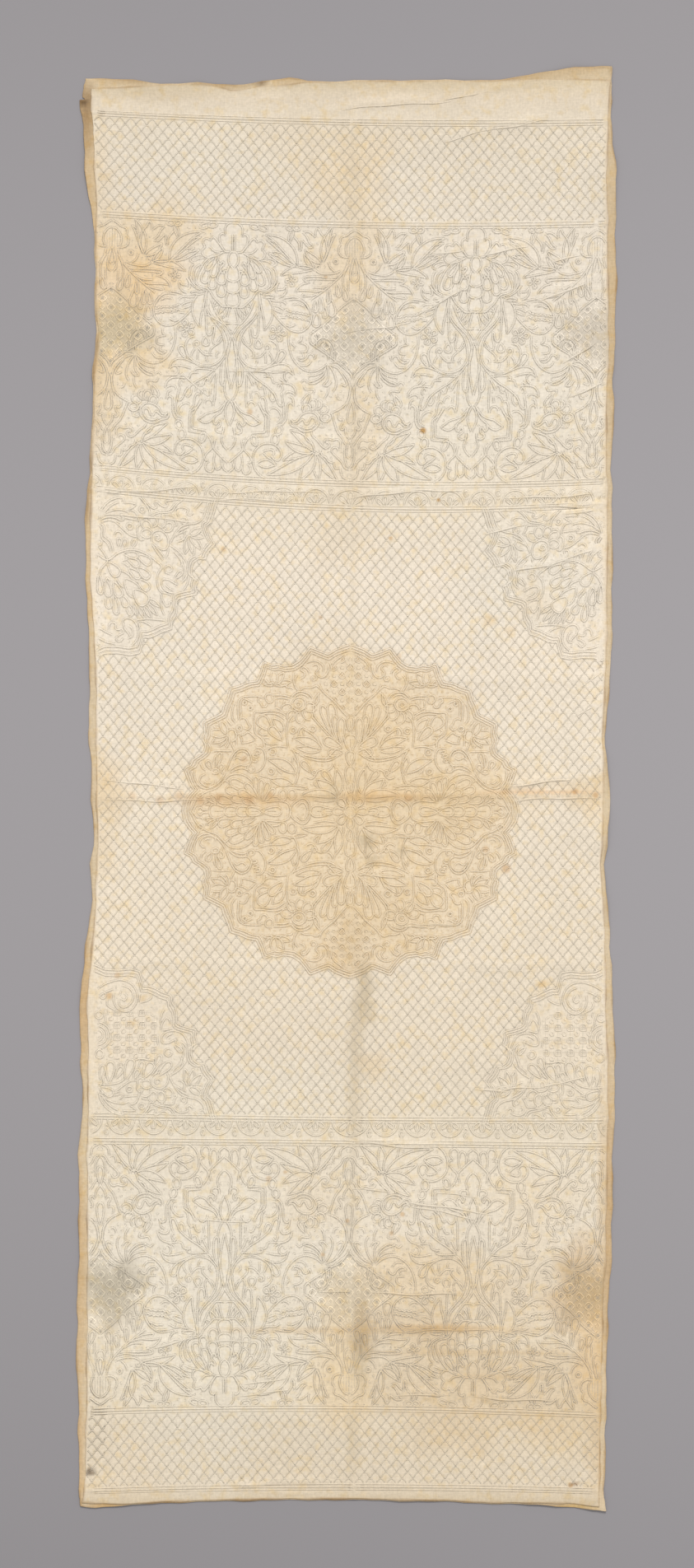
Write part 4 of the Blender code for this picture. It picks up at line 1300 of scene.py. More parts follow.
@dataclass
class Sheet:
    """One cut cloth: a fine grid on the table places, laid on its solid's folds."""

    name: str
    node: str
    edges: tuple[int, int, int, int]
    base: float
    columns: np.ndarray
    rows: np.ndarray
    fray: float
    puckered: bool = False
    points: np.ndarray = field(init=False)

    def __post_init__(self) -> None:
        """Works out where the grid's points lie."""
        left, right, head, foot = self.edges
        across, up = np.meshgrid(self.columns, self.rows)
        inner_x = np.clip(across, LEFT_LIFTED, RIGHT_LIFTED)
        inner_y = np.clip(up, FOOT_LIFTED, HEAD_LIFTED)
        past = {
            "left": np.clip(LEFT_LIFTED - across, 0, 1), "right": np.clip(across - RIGHT_LIFTED, 0, 1),
            "head": np.clip(up - HEAD_LIFTED, 0, 1), "foot": np.clip(FOOT_LIFTED - up, 0, 1),
        }
        side_y = inner_y + past["head"] * (SIDES[-1, 0] - inner_y) + past["foot"] * (SIDES[0, 0] - inner_y)
        wave = 0.9 * np.sin(side_y / 17) + 0.6 * np.sin(side_y / 7.3 + 1) + self.fray * np.sin(side_y / 2.9)
        x = inner_x + past["left"] * (column(SIDES, left, side_y) + wave - inner_x)
        x = x + past["right"] * (column(SIDES, right, side_y) + wave - inner_x)
        y = inner_y + weave_rise(inner_x, inner_y)
        end_wave = 0.8 * np.sin(x / 19) + 0.5 * np.sin(x / 7.7)
        y = y + past["head"] * (column(ENDS, head, x) + end_wave - y)
        y = y + past["foot"] * (column(ENDS, foot, x) + end_wave - y)
        z = np.maximum(cloth_rise(inner_x, inner_y), folded(x, y, BORDER_FOLDS))
        if self.puckered:
            rules = [bump(inner_y - rule, 4.0) for rule in RULES]
            z = np.maximum(z, creased(x, y)) + 0.5 * np.max(rules, axis=0)
        z = z + self.base
        self.points = np.stack((x, y, z), axis=-1)

    def top(self, x: np.ndarray, v: np.ndarray) -> np.ndarray:
        """The height of the cloth's upper side at a place, read from its own grid."""
        column_at, row_at = (
            np.clip(np.interp(places, lines, np.arange(len(lines))), 0, len(lines) - 1.001)
            for places, lines in ((x, self.columns), (v, self.rows))
        )
        i, j = column_at.astype(int), row_at.astype(int)
        s, t = column_at - i, row_at - j
        z = self.points[..., 2]
        low = z[j, i] * (1 - s) + z[j, i + 1] * s
        high = z[j + 1, i] * (1 - s) + z[j + 1, i + 1] * s
        return low * (1 - t) + high * t + CLOTH_THICKNESS

    def build(self, finish: "ClothFinish") -> bpy.types.Object:
        """Makes the sheet's mesh, with its thickness, planar map and tints.

        Args:
            finish: the cloth's finish.

        Returns:
            The new object.
        """
        count_y, count_x = self.points.shape[:2]
        index = np.arange(count_x * count_y).reshape(count_y, count_x)
        quads = np.stack((index[:-1, :-1], index[:-1, 1:], index[1:, 1:], index[1:, :-1]), axis=-1)
        piece = mesh_object(self.name, self.points.reshape(-1, 3) * MM, quads.reshape(-1, 4))
        shell = piece.modifiers.new("thickness", "SOLIDIFY")
        shell.thickness = CLOTH_THICKNESS * MM
        shell.offset = 1.0
        bpy.context.view_layer.objects.active = piece
        bpy.ops.object.modifier_apply(modifier=shell.name)
        dress(piece, finish)
        return piece


def mesh_object(name: str, points: np.ndarray, quads: np.ndarray) -> bpy.types.Object:
    """Makes an object from points in metres and faces of four corners.

    Args:
        name: the piece's name.
        points: the points, one row each.
        quads: the faces' corners, one row each.

    Returns:
        The new object, linked and smooth.
    """
    mesh = bpy.data.meshes.new(name)
    mesh.vertices.add(len(points))
    mesh.vertices.foreach_set("co", points.astype(np.float32).ravel())
    mesh.loops.add(quads.size)
    mesh.loops.foreach_set("vertex_index", quads.astype(np.int32).ravel())
    mesh.polygons.add(len(quads))
    mesh.polygons.foreach_set("loop_start", np.arange(0, quads.size, 4, dtype=np.int32))
    mesh.update(calc_edges=True)
    mesh.validate()
    piece = bpy.data.objects.new(name, mesh)
    bpy.context.scene.collection.objects.link(piece)
    mesh.shade_smooth()
    return piece


def mesh_arrays(mesh: bpy.types.Mesh) -> tuple[np.ndarray, np.ndarray, np.ndarray]:
    """A mesh's points, its corners' points and its faces' normals, one for each corner."""
    points = np.empty(len(mesh.vertices) * 3, np.float32)
    mesh.vertices.foreach_get("co", points)
    corners = np.empty(len(mesh.loops), np.int32)
    mesh.loops.foreach_get("vertex_index", corners)
    normals = np.empty(len(mesh.polygons) * 3, np.float32)
    mesh.polygons.foreach_get("normal", normals)
    totals = np.empty(len(mesh.polygons), np.int32)
    mesh.polygons.foreach_get("loop_total", totals)
    return points.reshape(-1, 3), corners, np.repeat(normals.reshape(-1, 3), totals, axis=0)


# Which columns of SIDES and ENDS bound each cloth: left, right, head and foot.
FACE_EDGES = (2, 3, 2, 3)
FACE_LEFT, FACE_RIGHT = FACE_EDGES[:2]
BACKING_EDGES = (1, 4, 1, 4)
BAKE_MAP = "OFBake"
MAP_SPAN = 2.3
UNDER_SHIFT = 0.5


def dress(piece: bpy.types.Object, finish: "ClothFinish", shade: float | np.ndarray = 1.0) -> None:
    """Gives a piece its planar map, its tints by place, and its material."""
    mesh = piece.data
    points, corners, normals = mesh_arrays(mesh)
    spread = points[corners, :2] / MAP_SPAN + (0.23, 0.5)
    spread[:, 0] += np.where(normals[:, 2] < 0, UNDER_SHIFT, 0)
    layer = mesh.uv_layers.new(name=BAKE_MAP)
    layer.data.foreach_set("uv", spread.astype(np.float32).ravel())
    tints = finish.tints(points[:, 0] / MM, points[:, 1] / MM) * shade
    colors = mesh.color_attributes.new("tint", "FLOAT_COLOR", "POINT")
    colors.data.foreach_set("color", np.column_stack((tints, np.ones(len(tints)))).astype(np.float32).ravel())
    mesh.materials.append(finish.material())


def linear(red: float, green: float, blue: float) -> np.ndarray:
    """A display colour of 0 to 255 as linear light."""
    share = np.array((red, green, blue)) / 255
    return np.where(share <= 0.04045, share / 12.92, ((share + 0.055) / 1.055) ** 2.4)


# The face's ground colour down the panel: place along it, red, green, blue. It is darker towards both ends,
# partly the cloth's own tone and partly painted light falloff towards the foot.
GROUND_TONES_AND_FALLOFF = np.array((
    (1090, 224, 206, 176), (1066, 229, 213, 189), (1029, 233, 219, 197), (950, 236, 223, 203),
    (800, 238, 226, 208), (600, 239, 227, 208), (450, 240, 226, 204), (330, 244, 230, 210),
    (100, 243, 229, 208), (-200, 240, 225, 202), (-400, 237, 222, 199), (-520, 235, 221, 198),
    (-700, 236, 223, 202), (-900, 234, 220, 196), (-1000, 228, 213, 189), (-1070, 228, 212, 187),
    (-1100, 216, 198, 170),
), float)[::-1]


@dataclass(frozen=True)
class Stain:
    """A soft patch of another colour on the cloth, in millimetres."""

    x: float
    y: float
    half_width: float
    half_length: float
    color: tuple[float, float, float]
    strength: float
    cut: float = -1000.0


# The dusty grey marks real dust and also darkens the creases, where it is painted shade as well as dust.
TAN, DUST_AND_SHADE = (230, 200, 151), (203, 184, 152)
RIM, BROWN, PALE, LIP = (206, 172, 124), (212, 180, 132), (236, 228, 212), (140, 104, 60)

STAINS = tuple(Stain(*row) for row in (
    # paler ground
    (-220, -780, 200, 290, PALE, 0.45), (-200, -480, 220, 90, PALE, 0.3), (200, 620, 160, 200, PALE, 0.3),
    (-190, 620, 120, 220, PALE, 0.25), (-300, 250, 100, 200, PALE, 0.2), (-200, 980, 150, 60, PALE, 0.2),
    # broad tan clouds
    (-318, 838, 104, 84, TAN, 0.5), (-336, 775, 90, 80, (238, 200, 144), 0.5), (-385, 940, 30, 90, TAN, 0.3),
    (-335, 675, 70, 90, TAN, 0.5), (-385, 620, 40, 150, TAN, 0.4), (10, 925, 75, 90, TAN, 0.3),
    (0, 800, 60, 80, TAN, 0.45), (-30, 985, 140, 60, TAN, 0.15), (20, 545, 40, 120, TAN, 0.25),
    (-10, 400, 60, 80, TAN, 0.15), (-20, 212, 90, 50, TAN, 0.15), (-190, 10, 80, 70, TAN, 0.2),
    (60, -200, 90, 50, TAN, 0.2), (170, -20, 90, 60, TAN, 0.35), (285, 0, 40, 60, TAN, 0.2),
    (280, 330, 130, 110, PALE, 0.45), (30, 10, 100, 100, TAN, 0.25), (0, -250, 45, 55, BROWN, 0.3),
    (60, 120, 80, 60, TAN, 0.2), (215, -800, 260, 120, BROWN, 0.26, 12.0),
    (200, -930, 280, 90, BROWN, 0.42, 12.0), (110, -745, 130, 60, TAN, 0.3, 12.0),
    (365, -772, 60, 84, (206, 166, 110), 0.5), (-10, -900, 50, 130, TAN, 0.5), (340, -985, 70, 60, TAN, 0.3),
    (200, -1010, 200, 40, TAN, 0.12, 12.0), (290, -640, 80, 60, TAN, 0.15), (-60, -640, 60, 60, TAN, 0.15),
    (285, 290, 40, 40, TAN, 0.2), (-385, 0, 60, 60, TAN, 0.55), (-380, -90, 30, 60, TAN, 0.3),
    (375, -10, 50, 40, TAN, 0.5), (-300, 1075, 140, 20, DUST_AND_SHADE, 0.4), (60, 1088, 300, 14, DUST_AND_SHADE, 0.3),
    (0, -1098, 420, 12, DUST_AND_SHADE, 0.3), (399, 300, 5, 800, TAN, 0.25), (-392, -100, 7, 900, TAN, 0.15),
    (396, -700, 14, 400, BROWN, 0.5), (-388, 760, 12, 200, BROWN, 0.4), (388, -1000, 20, 90, BROWN, 0.4),
    (375, -870, 30, 110, (226, 188, 132), 0.5),
    # the lattices' grey ground
    (-354, 712, 58, 52, (190, 176, 146), 0.65), (12, 697, 60, 58, (192, 180, 160), 0.58),
    (378, 702, 50, 50, (190, 178, 160), 0.55), (-364, -772, 58, 56, (176, 164, 140), 0.7),
    (8, -777, 60, 52, (194, 178, 150), 0.5), (370, -776, 52, 52, (184, 162, 126), 0.6),
    # the middle crease, darkened by soiling together with painted shade in the fold
    (11, -100, 5, 980, DUST_AND_SHADE, 0.12), (27, -325, 20, 60, DUST_AND_SHADE, 0.75), (14, -395, 16, 70, DUST_AND_SHADE, 0.5),
    (40, -425, 26, 26, TAN, 0.4), (13, -480, 15, 70, DUST_AND_SHADE, 0.4), (10, -660, 12, 140, DUST_AND_SHADE, 0.25),
    (22, -872, 14, 84, DUST_AND_SHADE, 0.8), (24, -842, 26, 52, (172, 146, 108), 0.45),
    (110, -830, 110, 40, BROWN, 0.35, 12.0), (10, -990, 12, 70, DUST_AND_SHADE, 0.4), (12, 940, 14, 130, DUST_AND_SHADE, 0.2),
    (14, 560, 10, 130, DUST_AND_SHADE, 0.2),
    # the crossing creases: brown lines along them, soiling together with painted shade in the folds
    (0, -12, 395, 5, BROWN, 0.4), (-160, -15, 130, 13, (228, 180, 116), 0.3),
    (60, -10, 90, 12, (222, 174, 112), 0.3), (300, -4, 110, 5, (222, 166, 96), 0.4),
    (60, -834, 340, 7, BROWN, 0.4), (130, -830, 100, 7, (196, 158, 106), 0.45),
    (180, -868, 200, 5, BROWN, 0.4), (250, -905, 120, 5, BROWN, 0.3),
    # small dark marks
    (302, -300, 9, 7, TAN, 0.9), (-330, -360, 9, 7, TAN, 0.7), (252, 244, 10, 9, TAN, 0.5),
    (220, 260, 14, 12, TAN, 0.6), (-315, -322, 6, 6, TAN, 0.8), (-396, -1052, 9, 7, (96, 74, 50), 0.9),
    (354, -1071, 6, 5, (150, 110, 66), 0.9), (84, -95, 12, 8, DUST_AND_SHADE, 0.7),
    (30, -80, 16, 18, (178, 160, 128), 0.5), (38, -110, 14, 14, (184, 164, 130), 0.45),
    (-18, -6, 10, 22, DUST_AND_SHADE, 0.6),
))

# Small rusty spots: across, along, radius, strength.
SPOTS = (
    (118, 553, 6, 1.0), (142, 446, 4.5, 0.8), (-149, 582, 6, 0.5), (246, -122, 9, 0.55), (-32, 790, 5, 0.4),
    (-366, -318, 7, 0.45), (-120, -600, 6, 0.4), (-95, -590, 4, 0.4), (-40, 265, 5, 0.4), (80, 205, 6, 0.3),
    (86, -655, 5, 0.5), (1, -665, 5, 0.5), (69, -684, 5, 0.45), (-37, -717, 4.5, 0.45), (68, 387, 4.5, 0.5),
    (-330, -10, 8, 0.25), (-288, -17, 9, 0.35), (-258, -9, 10, 0.3), (-226, -18, 8, 0.35),
    (-196, -12, 9, 0.3), (-150, -16, 9, 0.35), (-118, -8, 7, 0.3), (96, -14, 8, 0.3), (352, -3, 7, 0.5),
    (384, -9, 6, 0.5), (-190, 370, 5, 0.4), (-354, -287, 6, 0.4), (345, -1072, 5, 0.6), (-158, 46, 7, 0.3),
    (214, -92, 7, 0.35),
)

# The backing's own marks, along the edges where it shows.
BACK_STAINS = tuple(Stain(*row) for row in (
    (-402, 1050, 18, 66, (146, 112, 70), 0.8), (-408, 1060, 9, 4, (74, 54, 36), 1.0),
    (-360, 1098, 50, 16, (200, 172, 130), 0.6), (-300, 1096, 50, 12, (188, 160, 120), 0.6),
    (-170, 1086, 30, 8, (176, 146, 102), 0.5), (-133, 1090, 16, 5, (120, 90, 56), 0.8),
    (-90, 1095, 40, 8, (200, 168, 120), 0.6), (330, 1108, 90, 16, (202, 176, 136), 0.7),
    (260, 1100, 60, 12, (190, 160, 116), 0.6), (-396, 900, 14, 120, (206, 172, 122), 0.5),
    (-404, 300, 14, 160, (206, 172, 122), 0.5), (-405, -330, 14, 120, (200, 160, 106), 0.6),
    (-412, -700, 14, 220, (204, 168, 118), 0.6), (-414, -1000, 12, 110, (200, 162, 110), 0.6),
    (-370, -1104, 34, 8, (196, 154, 88), 0.7), (350, -1106, 40, 8, (200, 164, 92), 0.7),
    (410, 700, 14, 300, (200, 170, 126), 0.5), (404, -700, 14, 300, (196, 160, 112), 0.6),
))


# How much red, green and blue the blotches and the rusty spots take away.
BLOTCH_LOSS = (0.03, 0.1, 0.26)
SPOT_LOSS = (0.3, 0.55, 0.82)


@dataclass(frozen=True)
class ClothFinish:
    """A plain woven cotton: its ground colour, tints by place, weave and bump."""

    name: str
    ground: tuple[float, float, float]
    edges: tuple[int, int, int, int]
    stains: tuple[Stain, ...]
    washed: bool
    weave: float
    rim: float
    roughness: float = 0.9
    light: float = 1.12

    def tints(self, x: np.ndarray, y: np.ndarray) -> np.ndarray:
        """The cloth's colour at each place, in linear light.

        Args:
            x: how far right of the middle line each place lies, in millimetres.
            y: how far towards the head.

        Returns:
            One colour a place.
        """
        color = np.tile(linear(*self.ground), (len(x), 1))
        left, right, head, foot = self.edges
        inset = np.minimum(x - column(SIDES, left, y), column(SIDES, right, y) - x)
        inset = np.minimum(inset, np.minimum(column(ENDS, head, x) - y, y - column(ENDS, foot, x)))
        patchy = 0.6 + 0.25 * np.sin(x / 23 + y / 37) + 0.15 * np.sin(y / 11)
        rim = (0.4 * (1 - ramp(inset, 0, self.rim)) * patchy)[:, None]
        lip = (0.6 * (1 - ramp(inset, 0.4, 2.2)) * patchy)[:, None]
        shade = 1 + 0.015 * np.sin(x / 61 + y / 90) * np.sin(y / 53 - x / 140)
        if self.washed:
            color = self.washes(x, y)
        color = color * shade[:, None]
        for number, stain in enumerate(self.stains):
            away = (x - stain.x) + 1j * (y - stain.y)
            turn = np.angle(away)
            wobble = 1 + 0.18 * np.sin(3 * turn + number) + 0.12 * np.sin(7 * turn - number)
            reach = np.hypot(away.real / stain.half_width, away.imag / stain.half_length) / wobble
            share = stain.strength * np.clip(1 - reach**2, 0, 1) ** 0.8
            share = (share * ramp(x, stain.cut - 4, stain.cut + 6))[:, None]
            color = color * (1 - share) + linear(*stain.color) * shade[:, None] * share
        color = color * (1 - rim) + linear(*RIM) * rim
        return (color * (1 - lip) + linear(*LIP) * lip) / self.light

    def washes(self, x: np.ndarray, y: np.ndarray) -> np.ndarray:
        """The face's ground down the panel, with its painted light falloff towards the foot, and the tan of
        its medallion, in linear light.
        """
        color = linear(*(column(GROUND_TONES_AND_FALLOFF, k, y) for k in (1, 2, 3))).T
        medal = Medallion()
        ring, away = medal.outline(), x + 1j * y - medal.center - 4
        reach = np.interp(np.angle(away), np.angle(ring), np.abs(ring), period=2 * np.pi)
        middle = 1 - np.clip(np.abs(away) / 260, 0, 1) ** 2
        drawn = ((0.3 + 0.2 * middle) * ramp(reach - np.abs(away), -4, 7))[:, None]
        return color * (1 - drawn) + linear(*TAN) * drawn

    def material(self) -> bpy.types.Material:
        """The cloth's material, made once and then shared."""
        found = bpy.data.materials.get(self.name)
        if found:
            return found
        shader = Shader(self.name)
        place = shader.node("ShaderNodeTexCoord").output("Object")
        tint = shader.node("ShaderNodeAttribute", {"attribute_name": "tint"}).output("Color")
        cloud, speck = shader.noise(place, 22.0, 4.0), shader.noise(place, 260.0, 3.0)
        warp = shader.noise(shader.stretched(place, (900.0, 60.0, 1.0)), 1.0, 1.0)
        weft = shader.noise(shader.stretched(place, (60.0, 900.0, 1.0)), 1.0, 1.0)
        threads = (warp + weft) * 0.5
        tone = 1.0 + (cloud - 0.5) * 0.12 + (speck - 0.5) * 0.32 + (threads - 0.5) * self.weave
        blotch = shader.noise(place, 75.0, 3.0) * 0.7 + cloud * 0.3
        drawn = shader.node("ShaderNodeMapRange", {}, {"Value": blotch, "From Min": 0.5, "From Max": 0.7})
        tint = shader.stained(tint, BLOTCH_LOSS, drawn.output("Result"))
        flat = shader.vector("MULTIPLY", {0: place, 1: (1 / MM, 1 / MM, 0)})
        uneven = (cloud - 0.5) * 0.9 + (speck - 0.5) * 0.6
        spotted = 0.0
        for x, y, radius, strength in SPOTS if self.washed else ():
            away = shader.vector("DISTANCE", {0: flat, 1: (x, y, 0)}, "Value")
            spotted = shader.clamped((radius - away) * (1.6 / radius) + uneven) * strength + spotted
        if self.washed:
            tint = shader.stained(tint, SPOT_LOSS, shader.clamped(spotted))
        shader.base_color(tint, tone)
        shader.relief(threads * 0.5 + speck * 0.5, 0.35, 0.0004)
        shader.plain({"Roughness": self.roughness, "Specular IOR Level": 0.25, "Sheen Weight": 0.08})
        return shader.material


@dataclass(frozen=True)
class ThreadFinish:
    """A plain sewing thread, coloured darker than the cloth to carry painted shade and soiling of the
    stitched line as well.
    """

    name: str
    color: tuple[float, float, float]

    def material(self) -> bpy.types.Material:
        """The thread's material, made once and then shared."""
        found = bpy.data.materials.get(self.name)
        if found:
            return found
        shader = Shader(self.name)
        shader.plain({"Base Color": (*linear(*self.color), 1.0), "Roughness": 0.8, "Specular IOR Level": 0.2})
        return shader.material


# The threads are coloured darker than the cloth: each stands for the thread together with painted shade and
# soiling in its stitched valley.
PALE_THREAD = ThreadFinish("pale_thread", (205, 194, 172))
MID_THREAD = ThreadFinish("mid_thread", (184, 175, 158))
SOILED_AND_SHADED_THREAD = ThreadFinish("soiled_and_shaded_thread", (200, 173, 133))
FAINT_THREAD = ThreadFinish("faint_thread", (196, 186, 168))
GREY_THREAD = ThreadFinish("grey_thread", (177, 168, 153))
THREADS = {
    **dict.fromkeys(("ruled", "head_guard", "foot_guard"), PALE_THREAD),
    **dict.fromkeys(("head_scales", "centre_scales", "foot_scales"), MID_THREAD),
    "corners": FAINT_THREAD,
    "medallion": SOILED_AND_SHADED_THREAD,
}


class Socket:
    """A shader value that takes part in Python arithmetic."""

    def __init__(self, shader: "Shader", source: bpy.types.NodeSocket) -> None:
        """Wraps one output of a node."""
        self.shader = shader
        self.source = source

    def _math(self, operation: str, first: object, second: object) -> "Socket":
        """Adds a Math node and gives its result."""
        node = self.shader.node("ShaderNodeMath", {"operation": operation}, {0: first, 1: second})
        return node.output("Value")

    def __add__(self, other: object) -> "Socket":
        """The sum of two values."""
        return self._math("ADD", self, other)

    def __radd__(self, other: object) -> "Socket":
        """The sum of a number and a value."""
        return self._math("ADD", other, self)

    def __sub__(self, other: object) -> "Socket":
        """The first value less the second."""
        return self._math("SUBTRACT", self, other)

    def __rsub__(self, other: object) -> "Socket":
        """A number less this value."""
        return self._math("SUBTRACT", other, self)

    def __mul__(self, other: object) -> "Socket":
        """The product of two values."""
        return self._math("MULTIPLY", self, other)

    def __rmul__(self, other: object) -> "Socket":
        """The product of a number and a value."""
        return self._math("MULTIPLY", other, self)


class Step:
    """A node that has been added, and its outputs."""

    def __init__(self, shader: "Shader", node: bpy.types.Node) -> None:
        """Wraps a node."""
        self.shader = shader
        self.node = node

    def output(self, name: str) -> Socket:
        """One output by its name."""
        return Socket(self.shader, self.node.outputs[name])


class Shader:
    """A node material with a Principled shader."""

    def __init__(self, name: str) -> None:
        """Starts a new material."""
        self.material = bpy.data.materials.new(name)
        self.material.use_nodes = True
        self.tree = self.material.node_tree
        self.surface = self.tree.nodes["Principled BSDF"]

    def node(self, kind: str, settings: dict | None = None, inputs: dict | None = None) -> Step:
        """Adds a node.

        Args:
            kind: the node's type.
            settings: its own properties, set first.
            inputs: the values or links of its sockets, by name or number.

        Returns:
            The node, wrapped.
        """
        node = self.tree.nodes.new(kind)
        for name, value in (settings or {}).items():
            setattr(node, name, value)
        for key, value in (inputs or {}).items():
            if isinstance(value, Socket):
                self.tree.links.new(value.source, node.inputs[key])
            else:
                node.inputs[key].default_value = value
        return Step(self, node)

    def noise(self, place: Socket, scale: float, detail: float) -> Socket:
        """Smooth noise about one half."""
        inputs = {"Vector": place, "Scale": scale, "Detail": detail}
        return self.node("ShaderNodeTexNoise", {}, inputs).output("Fac")

    def stretched(self, place: Socket, scale: tuple[float, float, float]) -> Socket:
        """A place with each of its axes multiplied."""
        return self.node("ShaderNodeMapping", {}, {"Vector": place, "Scale": scale}).output("Vector")

    def vector(self, operation: str, inputs: dict, output: str = "Vector") -> Socket:
        """The result of a Vector Math node."""
        return self.node("ShaderNodeVectorMath", {"operation": operation}, inputs).output(output)

    def clamped(self, value: Socket, low: float = 0.0, high: float = 1.0) -> Socket:
        """A value kept between two limits."""
        return self.node("ShaderNodeClamp", {}, {"Value": value, "Min": low, "Max": high}).output("Result")

    def base_color(self, tint: Socket, tone: Socket) -> None:
        """Links the surface's colour: a tint made lighter and darker by a tone."""
        scaled = self.vector("SCALE", {0: tint, "Scale": tone})
        self.tree.links.new(scaled.source, self.surface.inputs["Base Color"])

    def stained(self, tint: Socket, loss: tuple[float, float, float], share: Socket) -> Socket:
        """A tint that loses some of its red, green and blue where share is one."""
        lost = self.vector("SCALE", {0: loss, "Scale": share})
        kept = self.vector("SUBTRACT", {0: (1, 1, 1), 1: lost})
        return self.vector("MULTIPLY", {0: tint, 1: kept})

    def relief(self, height: Socket, strength: float, distance: float) -> None:
        """Links a fine bump to the surface's normal."""
        inputs = {"Height": height, "Strength": strength, "Distance": distance}
        bumped = self.node("ShaderNodeBump", {}, inputs)
        self.tree.links.new(bumped.output("Normal").source, self.surface.inputs["Normal"])

    def plain(self, values: dict[str, object]) -> None:
        """Sets values that are the same all over the surface."""
        for name, value in values.items():
            self.surface.inputs[name].default_value = value


# How much lighter the corded squares of the pale lattices are than the ground: a painted highlight on the
# raised squares.
PALE_SHADE = 1.24


@dataclass
class Needlework:
    """Turns the design's lines into raised cords and rows of stitches on the face cloth."""

    face: Sheet
    cord_step: float = 3.9
    cord_half_width: float = 1.5
    cord_height: float = 0.28
    row_offset: float = 1.8
    stitch_length: float = 2.75
    stitch_gap: float = 0.45
    stitch_width: float = 0.42
    seam_width: float = 0.42
    stitch_lift: float = 0.16
    margin: float = 3.0

    def placed(self, design: np.ndarray) -> tuple[np.ndarray, np.ndarray]:
        """Where the design's places lie on the cloth, as x and y."""
        x = design.real + column(DRIFTS, 1, design.imag)
        return x, design.imag + weave_rise(x, design.imag)

    def on_cloth(self, stroke: Stroke) -> list[Stroke]:
        """Cuts a line down to what lies on the face, clear of its edges."""
        x, y = self.placed(stroke.path)
        left = column(SIDES, FACE_LEFT, y) + self.margin
        right = column(SIDES, FACE_RIGHT, y) - self.margin
        return [Stroke(run, stroke.line) for run in runs(stroke.path, (x > left) & (x < right))]

    def points(self, design: np.ndarray, lift: np.ndarray | float) -> np.ndarray:
        """The cloth's points under places of the design, raised by lift, in metres."""
        x, y = self.placed(design)
        return np.column_stack((x, y, self.face.top(x, design.imag) + lift)) * MM

    def cords(self, name: str, strokes: list[Stroke], finish: ClothFinish, shade: float) -> bpy.types.Object:
        """One mesh of low closed ridges along the corded lines.

        Args:
            name: the piece's name.
            strokes: the lines, already cut to the cloth.
            finish: the face cloth's finish.
            shade: how much of the ground's lightness they keep.

        Returns:
            The new object.
        """
        centers, sideways, rises, firsts, shades = [], [], [], [], []
        for stroke in strokes:
            path = resampled(stroke.path, self.cord_step)
            if stroke.line is Line.SEAM or len(path) < 3:
                continue
            normal = 1j * np.gradient(path)
            rise = np.ones(len(path))
            rise[[0, -1]] = 0.05
            shades.append(np.full(len(path), shade * (PALE_SHADE if stroke.line is Line.PALE else 1.0)))
            firsts.append(np.arange(len(path)) < len(path) - 1)
            centers.append(path)
            sideways.append(normal / (np.abs(normal) + 1e-9))
            rises.append(rise)
        path, normal, rise = (np.concatenate(part) for part in (centers, sideways, rises))
        width = self.cord_half_width * np.where(rise < 1, 0.3, 1.0)
        rails = [
            self.points(path + normal * width, -0.05), self.points(path, self.cord_height * rise),
            self.points(path - normal * width, -0.05),
        ]
        piece = self.ridge(name, rails, np.concatenate(firsts))
        dress(piece, finish, np.tile(np.concatenate(shades), 3)[:, None])
        return piece

    def tucks(self, name: str, finish: ClothFinish) -> bpy.types.Object:
        """One mesh of narrow closed ridges, the crisp edges of the face's creases, their foot-side flanks
        coloured darker: painted shade together with soiling.

        Args:
            name: the piece's name.
            finish: the face cloth's finish.

        Returns:
            The new object.
        """
        centers, upward, rises, firsts = [], [], [], []
        for number, (x0, y0, x1, y1, _, height) in enumerate(CREASES):
            start, run = complex(x0, y0), complex(x1 - x0, y1 - y0)
            places = np.arange(-6, abs(run) + 6, 2.6)
            line = start + places * run / abs(run)
            low, high = column(SIDES, FACE_LEFT, line.imag) + 4, column(SIDES, FACE_RIGHT, line.imag) - 4
            places = places[(line.real > low) & (line.real < high)]
            if len(places) < 3:
                continue
            up = 1j * run / abs(run)
            centers.append(start + places * run / abs(run) + up * wander(places, number))
            upward.append(np.full(len(places), up))
            fade = np.sin(np.pi * np.linspace(0, 1, len(places))) ** 0.5
            rises.append(0.03 + 0.36 * height * fade * (0.8 + 0.2 * np.sin(places / 9 + number)))
            firsts.append(np.arange(len(places)) < len(places) - 1)
        path, up, rise = (np.concatenate(part) for part in (centers, upward, rises))
        rails = []
        for shift, lift in ((3.2, -0.05), (0.0, rise), (-1.3, -0.05)):
            spot = path + up * shift * np.minimum(1, 0.3 + rise)
            v = spot.imag - weave_rise(spot.real, spot.imag - weave_rise(spot.real, spot.imag))
            rails.append(np.column_stack((spot.real, spot.imag, self.face.top(spot.real, v) + lift)) * MM)
        piece = self.ridge(name, rails, np.concatenate(firsts))
        # The foot-side flank, turned from the key light, is coloured much darker and the crown a little
        # darker: painted shade together with soiling in the crease.
        dress(piece, finish, np.repeat((1.0, 0.94, 0.72), len(path))[:, None])
        return piece

    def ridge(self, name: str, rails: list[np.ndarray], firsts: np.ndarray) -> bpy.types.Object:
        """Closes a three-sided ridge over its left foot, crown and right foot.

        Args:
            name: the piece's name.
            rails: the points of the three lines.
            firsts: which points have a next one.

        Returns:
            The new object.
        """
        count, starts = len(rails[0]), np.flatnonzero(firsts)
        a, b, c = starts, starts + count, starts + 2 * count
        quads = np.concatenate((
            np.column_stack((a, b, b + 1, a + 1)), np.column_stack((b, c, c + 1, b + 1)),
            np.column_stack((c, a, a + 1, c + 1)),
        ))
        return mesh_object(name, np.concatenate(rails), quads)

